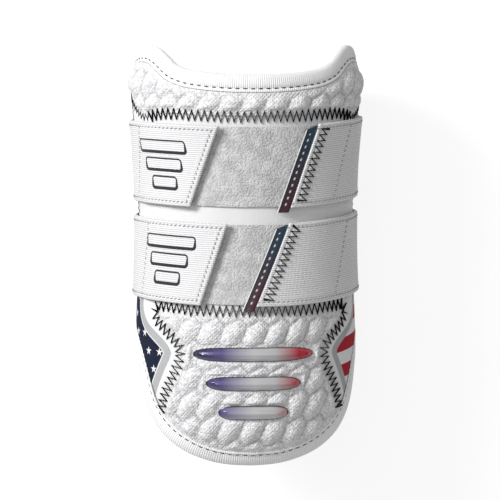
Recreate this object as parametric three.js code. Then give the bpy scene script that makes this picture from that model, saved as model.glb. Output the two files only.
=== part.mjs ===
// A baseball elbow guard, lying on the backs of its two closed straps.
// Millimetres. +X runs across the guard, +Y along the arm towards the upper arm, and +Z out through its front.
import * as THREE from 'three';

// Body: a padded core that wraps most of the way round the arm
const HALF_LENGTH = 110.5; // middle of the guard to the fold line at the tip of its tongue
const HALF_WIDTH = 58; // centre plane to the core's side, between the straps
const FRONT_RISE = 48; // from the level where the core is widest to its front
const REAR_REACH = 62; // rear half axis of the section
const WRAP = 127; // degrees from the front centre line to each rear edge
const CORE_THICK = 6;
const EDGE_THICK = 3.6; // core where it is skived for the binding
const SKIVE = 14; // width of the band over which it thins

// Covers, in the order in which they lie on the core
const GAP = 0.5; // between pieces that lie on each other
const SEAM_GAP = 1.1; // between the edges of covers that meet at a seam
const COVER_THICK = 1.2;
const QUILT_RELIEF = 1.8; // height of a quilted cell above its creases
const QUILT_PITCH = 13.1; // between neighbouring cells
const QUILT_FADE = 4; // flat margin round the quilting and the ribs
const LOOP_THICK = 1;

// Edge binding, a folded tape with a raised inner hem
const TAPE_THICK = 1.1;
const TAPE_GAP = 0.3;
const TAPE_LEG = 6;
const HEM_WIDTH = 1.4;
const HEM_RISE = 0.4;

// Straps and what is on them
const STRAP_WIDTH = 43.5;
const STRAP_THICK = 2;
const RIGHT_CLIMB = 4.2; // how much higher each strap sits on the right side than in front
const LEFT_CLIMB = 2.1; // the same on the left side
const LOOP_WIDTH = 42;
const LOOP_FADE = 14; // degrees over which a strap steps down
const LOOP_CLEAR = 6; // degrees past its loop strip at which it starts to
const LABEL_THICK = 0.8;
const LABEL_WIDTH = 6;
const LABEL_LENGTH = 45;

// Raised ribs on the front of the tongue
const RIB_HEIGHT = 2.6;
const RIB_WIDTH = 7.5;

// Sections of the core from the tongue's tip (-1) to the top (1), as shares of the sizes above
const SECTIONS = [
  { along: -1.07, width: 0.755, rise: 0.56 },
  { along: -1.0, width: 0.835, rise: 0.675 },
  { along: -0.93, width: 0.903, rise: 0.785 },
  { along: -0.84, width: 0.957, rise: 0.88 },
  { along: -0.71, width: 0.995, rise: 0.953 },
  { along: -0.53, width: 1.006, rise: 0.994 },
  { along: -0.265, width: 0.992, rise: 1.01 },
  { along: 0.0, width: 0.975, rise: 1.0 },
  { along: 0.21, width: 0.972, rise: 0.985 },
  { along: 0.44, width: 0.985, rise: 0.98 },
  { along: 0.64, width: 1.015, rise: 0.99 },
  { along: 0.77, width: 1.036, rise: 1.0 },
  { along: 0.84, width: 1.036, rise: 1.0 },
  { along: 0.91, width: 1.014, rise: 0.975 },
  { along: 1.0, width: 0.985, rise: 0.935 },
  { along: 1.07, width: 0.96, rise: 0.89 },
];

// Fold line of the edge from the tip of the tongue to the foot of the right rear edge
const TONGUE_EDGE = [
  { wrap: 0, along: -1.0 },
  { wrap: 12, along: -0.996 },
  { wrap: 22, along: -0.985 },
  { wrap: 32, along: -0.963 },
  { wrap: 40, along: -0.937 },
  { wrap: 48, along: -0.901 },
  { wrap: 56, along: -0.851 },
  { wrap: 62, along: -0.798 },
  { wrap: 67, along: -0.735 },
  { wrap: 71, along: -0.665 },
  { wrap: 75, along: -0.59 },
  { wrap: 80, along: -0.52 },
  { wrap: 87, along: -0.46 },
  { wrap: 95, along: -0.415 },
  { wrap: 104, along: -0.378 },
  { wrap: 114, along: -0.345 },
  { wrap: 121, along: -0.31 },
  { wrap: 125.5, along: -0.265 },
  { wrap: WRAP, along: -0.21 },
];

// Fold line of the edge from the middle of the collar to the head of the right rear edge
const COLLAR_EDGE = [
  { wrap: 0, along: 0.843 },
  { wrap: 12, along: 0.846 },
  { wrap: 24, along: 0.854 },
  { wrap: 36, along: 0.87 },
  { wrap: 45, along: 0.897 },
  { wrap: 52, along: 0.934 },
  { wrap: 59, along: 0.966 },
  { wrap: 67, along: 0.983 },
  { wrap: 76, along: 0.984 },
  { wrap: 86, along: 0.971 },
  { wrap: 95, along: 0.949 },
  { wrap: 104, along: 0.92 },
  { wrap: 112, along: 0.881 },
  { wrap: 119, along: 0.835 },
  { wrap: 124, along: 0.775 },
  { wrap: WRAP, along: 0.69 },
];

// Seam under the collar's quilting, flat across the front and rising round the sides
const COLLAR_SEAM = [
  { wrap: 0, along: 0.672 },
  { wrap: 20, along: 0.674 },
  { wrap: 35, along: 0.68 },
  { wrap: 47, along: 0.684 },
  { wrap: 56, along: 0.679 },
  { wrap: 62, along: 0.668 },
  { wrap: 67, along: 0.664 },
  { wrap: 73, along: 0.68 },
  { wrap: 80, along: 0.712 },
  { wrap: 87, along: 0.742 },
  { wrap: 95, along: 0.772 },
  { wrap: 103, along: 0.797 },
  { wrap: 111, along: 0.81 },
];

// Seam over the tongue's quilting, and its waisted side seam down to the binding
const TONGUE_SEAM_ALONG = -0.252;
const WAIST_SEAM = [
  { wrap: 54.4, along: -0.768 },
  { wrap: 52.1, along: -0.703 },
  { wrap: 49.8, along: -0.659 },
  { wrap: 47.1, along: -0.6145 },
  { wrap: 44.1, along: -0.566 },
  { wrap: 41.1, along: -0.518 },
  { wrap: 39.3, along: -0.4725 },
  { wrap: 40, along: -0.44 },
  { wrap: 42.9, along: -0.403 },
  { wrap: 49, along: -0.361 },
  { wrap: 55, along: -0.315 },
  { wrap: 58, along: TONGUE_SEAM_ALONG },
];

// Seam between the middle cover and the side panel, up to the collar's seam
const SIDE_SEAM = [
  { wrap: 58, along: TONGUE_SEAM_ALONG },
  { wrap: 62, along: -0.21 },
  { wrap: 71, along: -0.12 },
  { wrap: 80, along: -0.02 },
  { wrap: 86, along: 0.1 },
  { wrap: 88, along: 0.25 },
  { wrap: 88, along: 0.5 },
  { wrap: 88, along: 0.752 },
];

// Each strap's place, and the slanted ends of its sewn part, free tab and loop strip in degrees of wrap
const STRAPS = [
  { name: 'upper', along: 0.432, sewnLow: 18.4, sewnHigh: 33.6, tabLow: -32.7, tabHigh: -17, loopEnd: 56 },
  { name: 'lower', along: -0.033, sewnLow: 0.7, sewnHigh: 17.9, tabLow: -26.8, tabHigh: -13.2, loopEnd: 52 },
];

// Raised ribs, longest at the top, as shares of the sizes above
const RIBS = [
  { name: 'upper', along: -0.46, reach: 0.53 },
  { name: 'middle', along: -0.6, reach: 0.42 },
  { name: 'lower', along: -0.74, reach: 0.31 },
];

// Grid steps
const ACROSS = 32;
const ALONG = 14;

// Colours of the real materials
const WHITE = 0xf2f2f2;
const PALE_GREY = 0xdcdddd;
const NAVY = 0x1b2547;
const RED = 0xc8253f;
const SILVER = 0xbfc0c4;
const DARK_TEAL = 0x1d4560;

const { degToRad, lerp, smoothstep, clamp } = THREE.MathUtils;

const COVER_TOP = GAP + COVER_THICK;
const LOOP_TOP = COVER_TOP + GAP + LOOP_THICK;
const TAPE_TOP = TAPE_GAP + TAPE_THICK;
const HEM_TOP = TAPE_TOP + HEM_RISE;
const PANEL_INSET = TAPE_LEG + SEAM_GAP;

// Value of one column of a table at a given value of another, on a smooth curve through the rows
function columnAt(rows, key, column, value) {
  const last = rows.length - 1;
  const rising = rows[last][key] > rows[0][key];
  const at = (i) => rows[clamp(i, 0, last)];
  let i = 0;
  while (i < last - 1 && (rising ? value > at(i + 1)[key] : value < at(i + 1)[key])) i += 1;
  const span = at(i + 1)[key] - at(i)[key];
  const t = clamp((value - at(i)[key]) / span, 0, 1);
  const slope = (k) => {
    const before = at(k - 1);
    const after = at(k + 1);
    return ((after[column] - before[column]) / (after[key] - before[key])) * span;
  };
  const from = at(i)[column];
  const to = at(i + 1)[column];
  return (
    from * (1 + 2 * t) * (1 - t) ** 2 +
    slope(i) * t * (1 - t) ** 2 +
    to * t * t * (3 - 2 * t) +
    slope(i + 1) * t * t * (t - 1)
  );
}

// Point of the core's outer surface at an angle of wrap in degrees and a distance y along the arm
function skin(wrap, y) {
  const angle = degToRad(wrap);
  const along = y / HALF_LENGTH;
  const halfWidth = HALF_WIDTH * columnAt(SECTIONS, 'along', 'width', along);
  const rise = FRONT_RISE * columnAt(SECTIONS, 'along', 'rise', along);
  const reach = Math.cos(angle) > 0 ? rise : REAR_REACH;
  return new THREE.Vector3(halfWidth * Math.sin(angle), y, reach * Math.cos(angle));
}

// The two unit directions along the surface's grid, their rates and the outward normal
function frameAt(wrap, y) {
  const step = 0.25;
  const around = skin(wrap + step, y).sub(skin(wrap - step, y)).divideScalar(2 * step);
  const along = skin(wrap, y + step).sub(skin(wrap, y - step)).divideScalar(2 * step);
  const normal = around.clone().cross(along).normalize();
  return { around, along, normal };
}

// Point at a height over the core's outer surface
function over(p, height) {
  return skin(p.x, p.y).addScaledVector(frameAt(p.x, p.y).normal, height);
}

// Point of the flat pattern, as degrees of wrap and millimetres along the arm
function flat(wrap, y) {
  return new THREE.Vector2(wrap, y);
}

function mirrored(p) {
  return flat(-p.x, p.y);
}

// Smooth run of points through the rows of a table
function curveRows(rows, count) {
  return new THREE.SplineCurve(rows.map((row) => flat(row.wrap, row.along * HALF_LENGTH))).getSpacedPoints(count);
}

// Right half of a run made whole by its mirror image, from left to right
function bothSides(right) {
  return [...right.slice(1).map(mirrored).reverse(), ...right];
}

// Place on a run of points by its share of the distance along the surface
function travel(points) {
  const lengths = [0];
  for (let i = 1; i < points.length; i += 1) {
    const step = skin(points[i].x, points[i].y).distanceTo(skin(points[i - 1].x, points[i - 1].y));
    lengths.push(lengths[i - 1] + step);
  }
  return (share) => {
    const wanted = clamp(share, 0, 1) * lengths[points.length - 1];
    let i = 1;
    while (i < points.length - 1 && lengths[i] < wanted) i += 1;
    const t = (wanted - lengths[i - 1]) / (lengths[i] - lengths[i - 1]);
    return points[i - 1].clone().lerp(points[i], t);
  };
}

const alongTongue = travel(bothSides(curveRows(TONGUE_EDGE, 200)));
const alongCollar = travel(bothSides(curveRows(COLLAR_EDGE, 200)));

// Grid point of the fold line
function edgePoint(i, j) {
  return alongTongue(i / ACROSS).lerp(alongCollar(i / ACROSS), j / ALONG);
}

// The fold line as a closed run, from the foot of the left rear edge round the tongue
function edgeLoop() {
  const loop = [];
  for (let i = 0; i < ACROSS; i += 1) loop.push(edgePoint(i, 0));
  for (let j = 0; j < ALONG; j += 1) loop.push(edgePoint(ACROSS, j));
  for (let i = ACROSS; i > 0; i -= 1) loop.push(edgePoint(i, ALONG));
  for (let j = ALONG; j > 0; j -= 1) loop.push(edgePoint(0, j));
  return loop;
}

const edge = edgeLoop();
const CORNERS = [0, ACROSS, ACROSS + ALONG, 2 * ACROSS + ALONG];

// Inward direction along the surface at one point of the edge
function inwardAt(k) {
  const before = edge[(k + edge.length - 1) % edge.length];
  const after = edge[(k + 1) % edge.length];
  const tangent = skin(after.x, after.y).sub(skin(before.x, before.y));
  const { normal } = frameAt(edge[k].x, edge[k].y);
  return normal.clone().cross(tangent).normalize();
}

// The edge's pattern point moved a distance in from the fold line
function insetPoint(k, distance) {
  const inward = inwardAt(k);
  const { around, along } = frameAt(edge[k].x, edge[k].y);
  const cross = around.dot(along);
  const det = around.lengthSq() * along.lengthSq() - cross * cross;
  const a = inward.dot(around);
  const b = inward.dot(along);
  const dWrap = ((a * along.lengthSq() - b * cross) / det) * distance;
  const dAlong = ((b * around.lengthSq() - a * cross) / det) * distance;
  return flat(edge[k].x + dWrap, edge[k].y + dAlong);
}

// Grid point of the core, whose second ring lies under the binding's hem
function corePoint(i, j) {
  const [, right, head, left] = CORNERS;
  if (i === 0 || i === ACROSS || j === 0 || j === ALONG) return edgePoint(i, j);
  if (i === 1) return insetPoint(left + ALONG - j, TAPE_LEG);
  if (i === ACROSS - 1) return insetPoint(right + j, TAPE_LEG);
  const low = insetPoint(i, TAPE_LEG);
  return low.lerp(insetPoint(head + ACROSS - i, TAPE_LEG), (j - 1) / (ALONG - 2));
}

// Line of the covers' outer edge just inside the binding
const hemLine = edge.map((_, k) => insetPoint(k, PANEL_INSET));
const tongueHem = hemLine.slice(0, ACROSS + 1);
const collarHem = hemLine.slice(CORNERS[2], CORNERS[3] + 1).reverse();
const rightHem = hemLine.slice(ACROSS / 2, CORNERS[2] + ACROSS / 2 + 1);

// Where a run of points first reaches a value of one coordinate, and the index of the point after that
function reach(points, key, value) {
  const after = points.findIndex((p, i) => i > 0 && (p[key] - value) * (points[i - 1][key] - value) <= 0);
  const before = points[after - 1];
  const share = (value - before[key]) / (points[after][key] - before[key]);
  return { after, point: before.clone().lerp(points[after], share) };
}

// Part of a run between two places found by reach
function stretch(points, from, to) {
  return [from.point, ...points.slice(from.after, to.after), to.point];
}

// Thickness of the core, which thins towards its edge
function coreThickness(p) {
  const here = skin(p.x, p.y);
  const nearest = Math.min(...edge.map((q) => skin(q.x, q.y).distanceTo(here)));
  return lerp(EDGE_THICK, CORE_THICK, smoothstep(nearest, 0, SKIVE));
}

// Closed body between two grids of points, with a nose ring round its side where one is given
function closedGrid(across, along, low, high, nose) {
  const positions = [];
  const add = (v) => positions.push(v.x, v.y, v.z) / 3 - 1;
  const grid = (at) => {
    const ids = [];
    for (let i = 0; i <= across; i += 1) {
      ids.push([]);
      for (let j = 0; j <= along; j += 1) ids[i].push(add(at(i / across, j / along)));
    }
    return ids;
  };
  const bottom = grid(low);
  const top = grid(high);
  const faces = [];
  const quad = (a, b, c, d) => faces.push(a, b, c, a, c, d);
  for (let i = 0; i < across; i += 1) {
    for (let j = 0; j < along; j += 1) {
      quad(top[i][j], top[i + 1][j], top[i + 1][j + 1], top[i][j + 1]);
      quad(bottom[i][j], bottom[i][j + 1], bottom[i + 1][j + 1], bottom[i + 1][j]);
    }
  }
  const rim = [];
  for (let i = 0; i < across; i += 1) rim.push([i, 0]);
  for (let j = 0; j < along; j += 1) rim.push([across, j]);
  for (let i = across; i > 0; i -= 1) rim.push([i, along]);
  for (let j = along; j > 0; j -= 1) rim.push([0, j]);
  const middle = nose && rim.map((_, k) => add(nose(k)));
  rim.forEach(([i, j], k) => {
    const [m, n] = rim[(k + 1) % rim.length];
    if (middle) {
      const next = middle[(k + 1) % rim.length];
      quad(bottom[i][j], bottom[m][n], next, middle[k]);
      quad(middle[k], next, top[m][n], top[i][j]);
    } else {
      quad(bottom[i][j], bottom[m][n], top[m][n], top[i][j]);
    }
  });
  return bodyOf(positions, faces);
}

function bodyOf(positions, faces) {
  const geometry = new THREE.BufferGeometry();
  geometry.setAttribute('position', new THREE.Float32BufferAttribute(positions, 3));
  geometry.setIndex(faces);
  geometry.computeVertexNormals();
  return geometry;
}

// Flat-pattern panel laid on the core between two heights
function panel(across, along, place, low, high) {
  return closedGrid(
    across,
    along,
    (u, v) => over(place(u, v), low(place(u, v), u, v)),
    (u, v) => over(place(u, v), high(place(u, v), u, v)),
  );
}

const fixed = (height) => () => height;

// Position between four boundary curves, each running from 0 to 1
function between(lower, upper, left, right) {
  return (u, v) => {
    const p = lower(u).multiplyScalar(1 - v);
    p.addScaledVector(upper(u), v).addScaledVector(left(v), 1 - u).addScaledVector(right(v), u);
    p.addScaledVector(lower(0), -(1 - u) * (1 - v)).addScaledVector(lower(1), -u * (1 - v));
    return p.addScaledVector(upper(0), -(1 - u) * v).addScaledVector(upper(1), -u * v);
  };
}

// Height of the quilting at a grid point of its panel: a honeycomb of domed cells in upright columns,
// two grid steps from column to column and four from row to row
function quiltRelief(i, j) {
  const columnPitch = QUILT_PITCH * Math.cos(degToRad(30));
  const x = (i * columnPitch) / 2;
  const y = (j * QUILT_PITCH) / 4;
  let nearest = QUILT_PITCH;
  const column = Math.round(x / columnPitch);
  for (const n of [column - 1, column, column + 1]) {
    const shift = (Math.abs(n) % 2) * 0.5;
    const row = Math.round(y / QUILT_PITCH - shift) + shift;
    nearest = Math.min(nearest, Math.hypot(x - n * columnPitch, y - row * QUILT_PITCH));
  }
  const cellRadius = columnPitch / 1.5;
  return QUILT_RELIEF * Math.max(0, 1 - (nearest / cellRadius) ** 2);
}

// 0 under and beside a rib, 1 clear of all of them
function clearOfRibs(p) {
  const x = Math.abs(skin(p.x, p.y).x);
  let share = 1;
  for (const rib of RIBS) {
    const beyond = Math.max(0, x - rib.reach * HALF_WIDTH);
    const beside = Math.max(0, Math.abs(p.y - rib.along * HALF_LENGTH) - RIB_WIDTH / 2);
    share = Math.min(share, smoothstep(Math.hypot(beyond, beside), QUILT_FADE, 1.5 * QUILT_FADE));
  }
  return share;
}

const whiteFabric = { color: WHITE, roughness: 0.85, metalness: 0 };

function mesh(name, geometry, material) {
  const made = new THREE.Mesh(geometry, new THREE.MeshStandardMaterial(material));
  made.name = name;
  return made;
}

function padCore() {
  const place = (u, v) => corePoint(Math.round(u * ACROSS), Math.round(v * ALONG));
  const low = (u, v) => over(place(u, v), -coreThickness(place(u, v)));
  const high = (u, v) => over(place(u, v), 0);
  const nose = (k) => over(edge[k], -EDGE_THICK / 2).addScaledVector(inwardAt(k), -EDGE_THICK / 2);
  return mesh('pad_core', closedGrid(ACROSS, ALONG, low, high, nose), { color: PALE_GREY, roughness: 0.9 });
}

// Section of the folded tape as distances in from the fold line and heights over the core
function tapeSection() {
  const middle = -EDGE_THICK / 2;
  const outer = EDGE_THICK / 2 + TAPE_TOP;
  const inner = EDGE_THICK / 2 + TAPE_GAP;
  const fold = (radius, degrees) => ({
    inward: -radius * Math.sin(degToRad(degrees)),
    height: middle + radius * Math.cos(degToRad(degrees)),
  });
  const hemStart = TAPE_LEG - HEM_WIDTH;
  return [
    { inward: TAPE_LEG, height: TAPE_GAP },
    { inward: TAPE_LEG, height: HEM_TOP },
    { inward: hemStart, height: HEM_TOP },
    { inward: hemStart - HEM_RISE, height: TAPE_TOP },
    { inward: 0, height: TAPE_TOP },
    fold(outer, 45),
    fold(outer, 90),
    fold(outer, 135),
    { inward: 0, under: TAPE_TOP },
    { inward: TAPE_LEG, under: TAPE_TOP },
    { inward: TAPE_LEG, under: TAPE_GAP },
    { inward: 0, under: TAPE_GAP },
    fold(inner, 90),
    { inward: 0, height: TAPE_GAP },
  ];
}

function edgeBinding() {
  const section = tapeSection();
  const positions = [];
  const faces = [];
  edge.forEach((_, k) => {
    for (const { inward, height, under } of section) {
      const p = insetPoint(k, Math.max(0, inward));
      const level = under === undefined ? height : -coreThickness(p) - under;
      const at = over(p, level).addScaledVector(inwardAt(k), Math.min(0, inward));
      positions.push(at.x, at.y, at.z);
    }
  });
  const n = section.length;
  for (let k = 0; k < edge.length; k += 1) {
    const next = (k + 1) % edge.length;
    for (let m = 0; m < n; m += 1) {
      const after = (m + 1) % n;
      faces.push(k * n + m, k * n + after, next * n + after);
      faces.push(k * n + m, next * n + after, next * n + m);
    }
  }
  return mesh('edge_binding', bodyOf(positions, faces), whiteFabric);
}

// A run of points moved sideways, by millimetres round the guard and along it
function shifted(points, around, along) {
  return points.map((p) => flat(p.x + THREE.MathUtils.radToDeg(around / HALF_WIDTH), p.y + along));
}

const collarSeam = curveRows(COLLAR_SEAM, 100);
const sideSeam = curveRows(SIDE_SEAM, 60);
const waistSeam = curveRows(WAIST_SEAM, 60);
const collarSeamHead = shifted(collarSeam, 0, SEAM_GAP / 2);
const collarSeamFoot = shifted(collarSeam, 0, -SEAM_GAP / 2);

const insideOnly = (t) => (t > 0 && t < 1 ? 1 : 0);

function collarQuilt() {
  const tip = collarSeamHead[collarSeamHead.length - 1].x;
  const lower = travel(bothSides(collarSeamHead));
  const upper = travel(stretch(collarHem, reach(collarHem, 'x', -tip), reach(collarHem, 'x', tip)));
  const place = (u, v) => lower(u).lerp(upper(u), v);
  const [across, along] = [38, 7];
  const relief = (u, v) => quiltRelief((u - 0.5) * across, v * along) * insideOnly(u) * insideOnly(v);
  const high = (p, u, v) => COVER_TOP + relief(u, v);
  return mesh('collar_quilt', panel(across, along, place, fixed(GAP), high), whiteFabric);
}

function middleCover() {
  const side = shifted(sideSeam, -SEAM_GAP / 2, 0);
  side[0].y += SEAM_GAP / 2;
  const head = reach(collarSeamFoot, 'x', side[side.length - 1].x);
  side[side.length - 1] = head.point;
  const foot = side[0];
  const place = between(
    travel([mirrored(foot), foot]),
    travel(bothSides([...collarSeamFoot.slice(0, head.after), head.point])),
    travel(side.map(mirrored)),
    travel(side),
  );
  return mesh('middle_cover', panel(22, 11, place, fixed(GAP), fixed(COVER_TOP)), whiteFabric);
}

function tongueQuilt() {
  const side = shifted(waistSeam, -SEAM_GAP / 2, 0);
  const foot = reach(tongueHem, 'x', side[0].x);
  const head = side[side.length - 1];
  head.y -= SEAM_GAP / 2;
  side.unshift(foot.point);
  const place = between(
    travel(stretch(tongueHem, reach(tongueHem, 'x', -foot.point.x), foot)),
    travel([mirrored(head), head]),
    travel(side.map(mirrored)),
    travel(side),
  );
  const [across, along] = [20, 22];
  const relief = (u, v) => quiltRelief((u - 0.5) * across, v * along) * insideOnly(u) * insideOnly(v);
  const high = (p, u, v) => COVER_TOP + relief(u, v) * clearOfRibs(p);
  return mesh('tongue_quilt', panel(across, along, place, fixed(GAP), high), whiteFabric);
}

// Side panel between the seams in front of it and the binding behind it
function sidePanel(name, side, color) {
  const front = shifted([...waistSeam, ...sideSeam.slice(1)], SEAM_GAP / 2, 0);
  const foot = reach(rightHem, 'x', front[0].x);
  const heel = reach(rightHem, 'x', front[0].x + 1);
  const crown = reach(collarSeamFoot, 'x', front[front.length - 1].x);
  const tip = collarSeamFoot[collarSeamFoot.length - 1];
  const shoulder = reach(rightHem, 'y', tip.y);
  front[front.length - 1] = crown.point;
  const right = between(
    travel([foot.point, heel.point]),
    travel([crown.point, ...collarSeamFoot.slice(crown.after), shoulder.point]),
    travel([foot.point, ...front]),
    travel(stretch(rightHem, heel, shoulder)),
  );
  const place = side > 0 ? right : (u, v) => mirrored(right(1 - u, v));
  return mesh(name, panel(6, 24, place, fixed(GAP), fixed(COVER_TOP)), { color, roughness: 0.7 });
}

// Level about which every strap turns under the rear edges, so that their backs lie in one plane
const TURN_LEVEL = over(flat(WRAP, 0), -EDGE_THICK / 2).z;

// Middle line of a strap, which climbs towards both sides
function strapY(strap, wrap) {
  const climb = wrap > 0 ? RIGHT_CLIMB * smoothstep(wrap, 10, 85) : LEFT_CLIMB * smoothstep(-wrap, 0, 80);
  return strap.along * HALF_LENGTH + climb;
}

function loopStrip(strap) {
  const half = LOOP_WIDTH / 2;
  const place = (u, v) => {
    const wrap = lerp(-strap.loopEnd, strap.loopEnd, u);
    return flat(wrap, strapY(strap, wrap) + lerp(-half, half, v));
  };
  const body = panel(14, 3, place, fixed(COVER_TOP + GAP), fixed(LOOP_TOP));
  return mesh(`${strap.name}_loop_strip`, body, { color: PALE_GREY, roughness: 1 });
}

// Height of a strap's inner face, over its loop strip in front and down on the covers at the sides
function strapHeight(strap, wrap) {
  const start = strap.loopEnd + LOOP_CLEAR;
  return lerp(LOOP_TOP, HEM_TOP, smoothstep(Math.abs(wrap), start, start + LOOP_FADE)) + GAP;
}

// One strap: from its sewn end round the right side, straight across the back, and round to its free tab
function strapBody(strap) {
  const sideSteps = 16;
  const turnSteps = 5;
  const total = 2 * sideSteps + 2 * turnSteps + 1;
  const side = (sign, t, v, lift) => {
    const sewn = lerp(strap.sewnLow, strap.sewnHigh, v);
    const tab = lerp(strap.tabLow, strap.tabHigh, v);
    const wrap = sign > 0 ? lerp(sewn, WRAP, t) : lerp(-WRAP, tab, t);
    const y = strapY(strap, wrap) + lerp(-0.5, 0.5, v) * STRAP_WIDTH;
    return over(flat(wrap, y), strapHeight(strap, wrap) + lift);
  };
  const turn = (sign, t, v, lift) => {
    const y = strapY(strap, sign * WRAP) + lerp(-0.5, 0.5, v) * STRAP_WIDTH;
    const { normal } = frameAt(sign * WRAP, y);
    const centre = over(flat(sign * WRAP, y), -EDGE_THICK / 2);
    centre.z = TURN_LEVEL;
    const from = Math.atan2(normal.z, sign * normal.x);
    const angle = lerp(from, -Math.PI / 2, sign > 0 ? t : 1 - t);
    const radius = EDGE_THICK / 2 + strapHeight(strap, WRAP) + lift;
    centre.x += sign * radius * Math.cos(angle);
    centre.z += radius * Math.sin(angle);
    return centre;
  };
  const at = (lift) => (u, v) => {
    const k = Math.round(u * total);
    if (k < sideSteps) return side(1, k / sideSteps, v, lift);
    if (k <= sideSteps + turnSteps) return turn(1, (k - sideSteps) / turnSteps, v, lift);
    const back = k - sideSteps - turnSteps - 1;
    if (back <= turnSteps) return turn(-1, back / turnSteps, v, lift);
    return side(-1, (back - turnSteps) / sideSteps, v, lift);
  };
  const body = closedGrid(total, 4, at(0), at(STRAP_THICK));
  return mesh(`${strap.name}_strap`, body, whiteFabric);
}

// Woven label folded under the strap's sewn end
function strapLabel(strap) {
  const step = THREE.MathUtils.radToDeg(LABEL_WIDTH / HALF_WIDTH);
  const seam = THREE.MathUtils.radToDeg(2 * GAP / HALF_WIDTH);
  const place = (u, v) => {
    const end = lerp(strap.sewnLow, strap.sewnHigh, v) - seam;
    const wrap = lerp(end - step, end, u);
    return flat(wrap, strapY(strap, wrap) + lerp(-0.5, 0.5, v) * LABEL_LENGTH);
  };
  const low = LOOP_TOP + GAP;
  const body = panel(2, 8, place, fixed(low), fixed(low + LABEL_THICK));
  return mesh(`${strap.name}_label`, body, { color: DARK_TEAL, roughness: 0.35 });
}

// Moulded rib with sloping sides and blunt tapered ends
function frontRib(rib) {
  const reach = rib.reach * HALF_WIDTH;
  const place = (u, v) => {
    const x = lerp(-reach, reach, u);
    const y = rib.along * HALF_LENGTH;
    const taper = Math.sqrt(1 - 0.9 * Math.abs(2 * u - 1) ** 5);
    const halfWidth = skin(90, y).x;
    return flat(THREE.MathUtils.radToDeg(Math.asin(x / halfWidth)), y + (v - 0.5) * RIB_WIDTH * taper);
  };
  const low = COVER_TOP + GAP;
  const high = (p, u, v) => low + RIB_HEIGHT * (u > 0 && u < 1 && v > 0 && v < 1 ? 1 : 0.3);
  return mesh(`${rib.name}_rib`, panel(14, 3, place, fixed(low), high), { color: SILVER, roughness: 0.3, metalness: 0.4 });
}

function elbowGuard() {
  const guard = new THREE.Group();
  guard.add(padCore(), edgeBinding(), collarQuilt(), middleCover(), tongueQuilt());
  guard.add(sidePanel('left_side_panel', -1, NAVY), sidePanel('right_side_panel', 1, RED));
  for (const strap of STRAPS) guard.add(loopStrip(strap), strapBody(strap), strapLabel(strap));
  for (const rib of RIBS) guard.add(frontRib(rib));
  return guard;
}

// The guard rests on its lowest faces, with the middle of its outline over the origin
const guard = elbowGuard();
const bounds = new THREE.Box3().setFromObject(guard);
const centre = bounds.getCenter(new THREE.Vector3());
guard.position.set(-centre.x, -centre.y, -bounds.min.z);

export default guard;
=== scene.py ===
"""Baseball elbow guard: fine surfaces, prints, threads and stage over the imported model."""

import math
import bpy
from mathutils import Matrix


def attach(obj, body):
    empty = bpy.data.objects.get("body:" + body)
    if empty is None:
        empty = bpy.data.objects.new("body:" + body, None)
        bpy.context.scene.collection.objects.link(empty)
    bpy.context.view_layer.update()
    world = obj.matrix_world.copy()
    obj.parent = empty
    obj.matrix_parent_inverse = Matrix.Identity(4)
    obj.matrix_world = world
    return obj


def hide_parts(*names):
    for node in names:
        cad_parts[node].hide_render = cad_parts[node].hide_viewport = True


bl_info = {
    "name": "Elbow Guard",
    "version": (1, 0, 0),
    "blender": (4, 5, 0),
    "location": "View3D > Sidebar > Elbow Guard",
    "description": "Builds a baseball elbow guard with quilted covers, printed sides and closing straps",
    "category": "Mesh",
}

from functools import partialmethod

import bpy
import numpy as np
from bpy.props import FloatProperty, FloatVectorProperty, IntProperty, PointerProperty
from mathutils import Matrix, Vector

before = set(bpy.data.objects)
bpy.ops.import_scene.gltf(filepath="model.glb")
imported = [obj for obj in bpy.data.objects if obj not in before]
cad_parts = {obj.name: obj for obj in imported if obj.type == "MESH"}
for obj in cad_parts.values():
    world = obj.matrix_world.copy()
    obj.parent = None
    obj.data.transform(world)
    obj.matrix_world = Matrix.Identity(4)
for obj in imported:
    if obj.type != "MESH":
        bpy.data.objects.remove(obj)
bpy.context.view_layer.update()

MM = 0.001
# Further than any distance on the guard, in millimetres
FAR = 1e9

# The guard's form in millimetres and degrees of wrap, as in the part's source
HALF_LENGTH = 110.5
HALF_WIDTH = 58.0
FRONT_RISE = 48.0
REAR_REACH = 62.0
WRAP = 127.0
CORE_THICK = 6.0
EDGE_THICK = 3.6
SKIVE = 14.0
GAP = 0.5
COVER_TOP = GAP + 1.2
LOOP_TOP = COVER_TOP + GAP + 1.0
TAPE_THICK = 1.1
TAPE_GAP = 0.3
TAPE_TOP = TAPE_GAP + TAPE_THICK
COLLAR_LEG = 6.3
TONGUE_LEG = 8.0
HEM_TOP = TAPE_TOP + 0.4
HEM_GAP = 0.35
HEM_SWELL = 0.2
# Past the tape's inner edge, height, share of the swell
HEM_BEAD = [
    (0, TAPE_GAP, 0), (0.15, HEM_TOP - 0.5, 0.6), (-0.15, HEM_TOP - 0.1, 1), (-0.6, HEM_TOP, 1),
    (-1.1, HEM_TOP - 0.15, 1), (-1.5, TAPE_TOP - 0.35, 0), (-1.9, TAPE_TOP - 0.4, 0),
    (-2.4, TAPE_TOP + 0.05, 0),
]
SEAM_SHUT = 0.06
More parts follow.
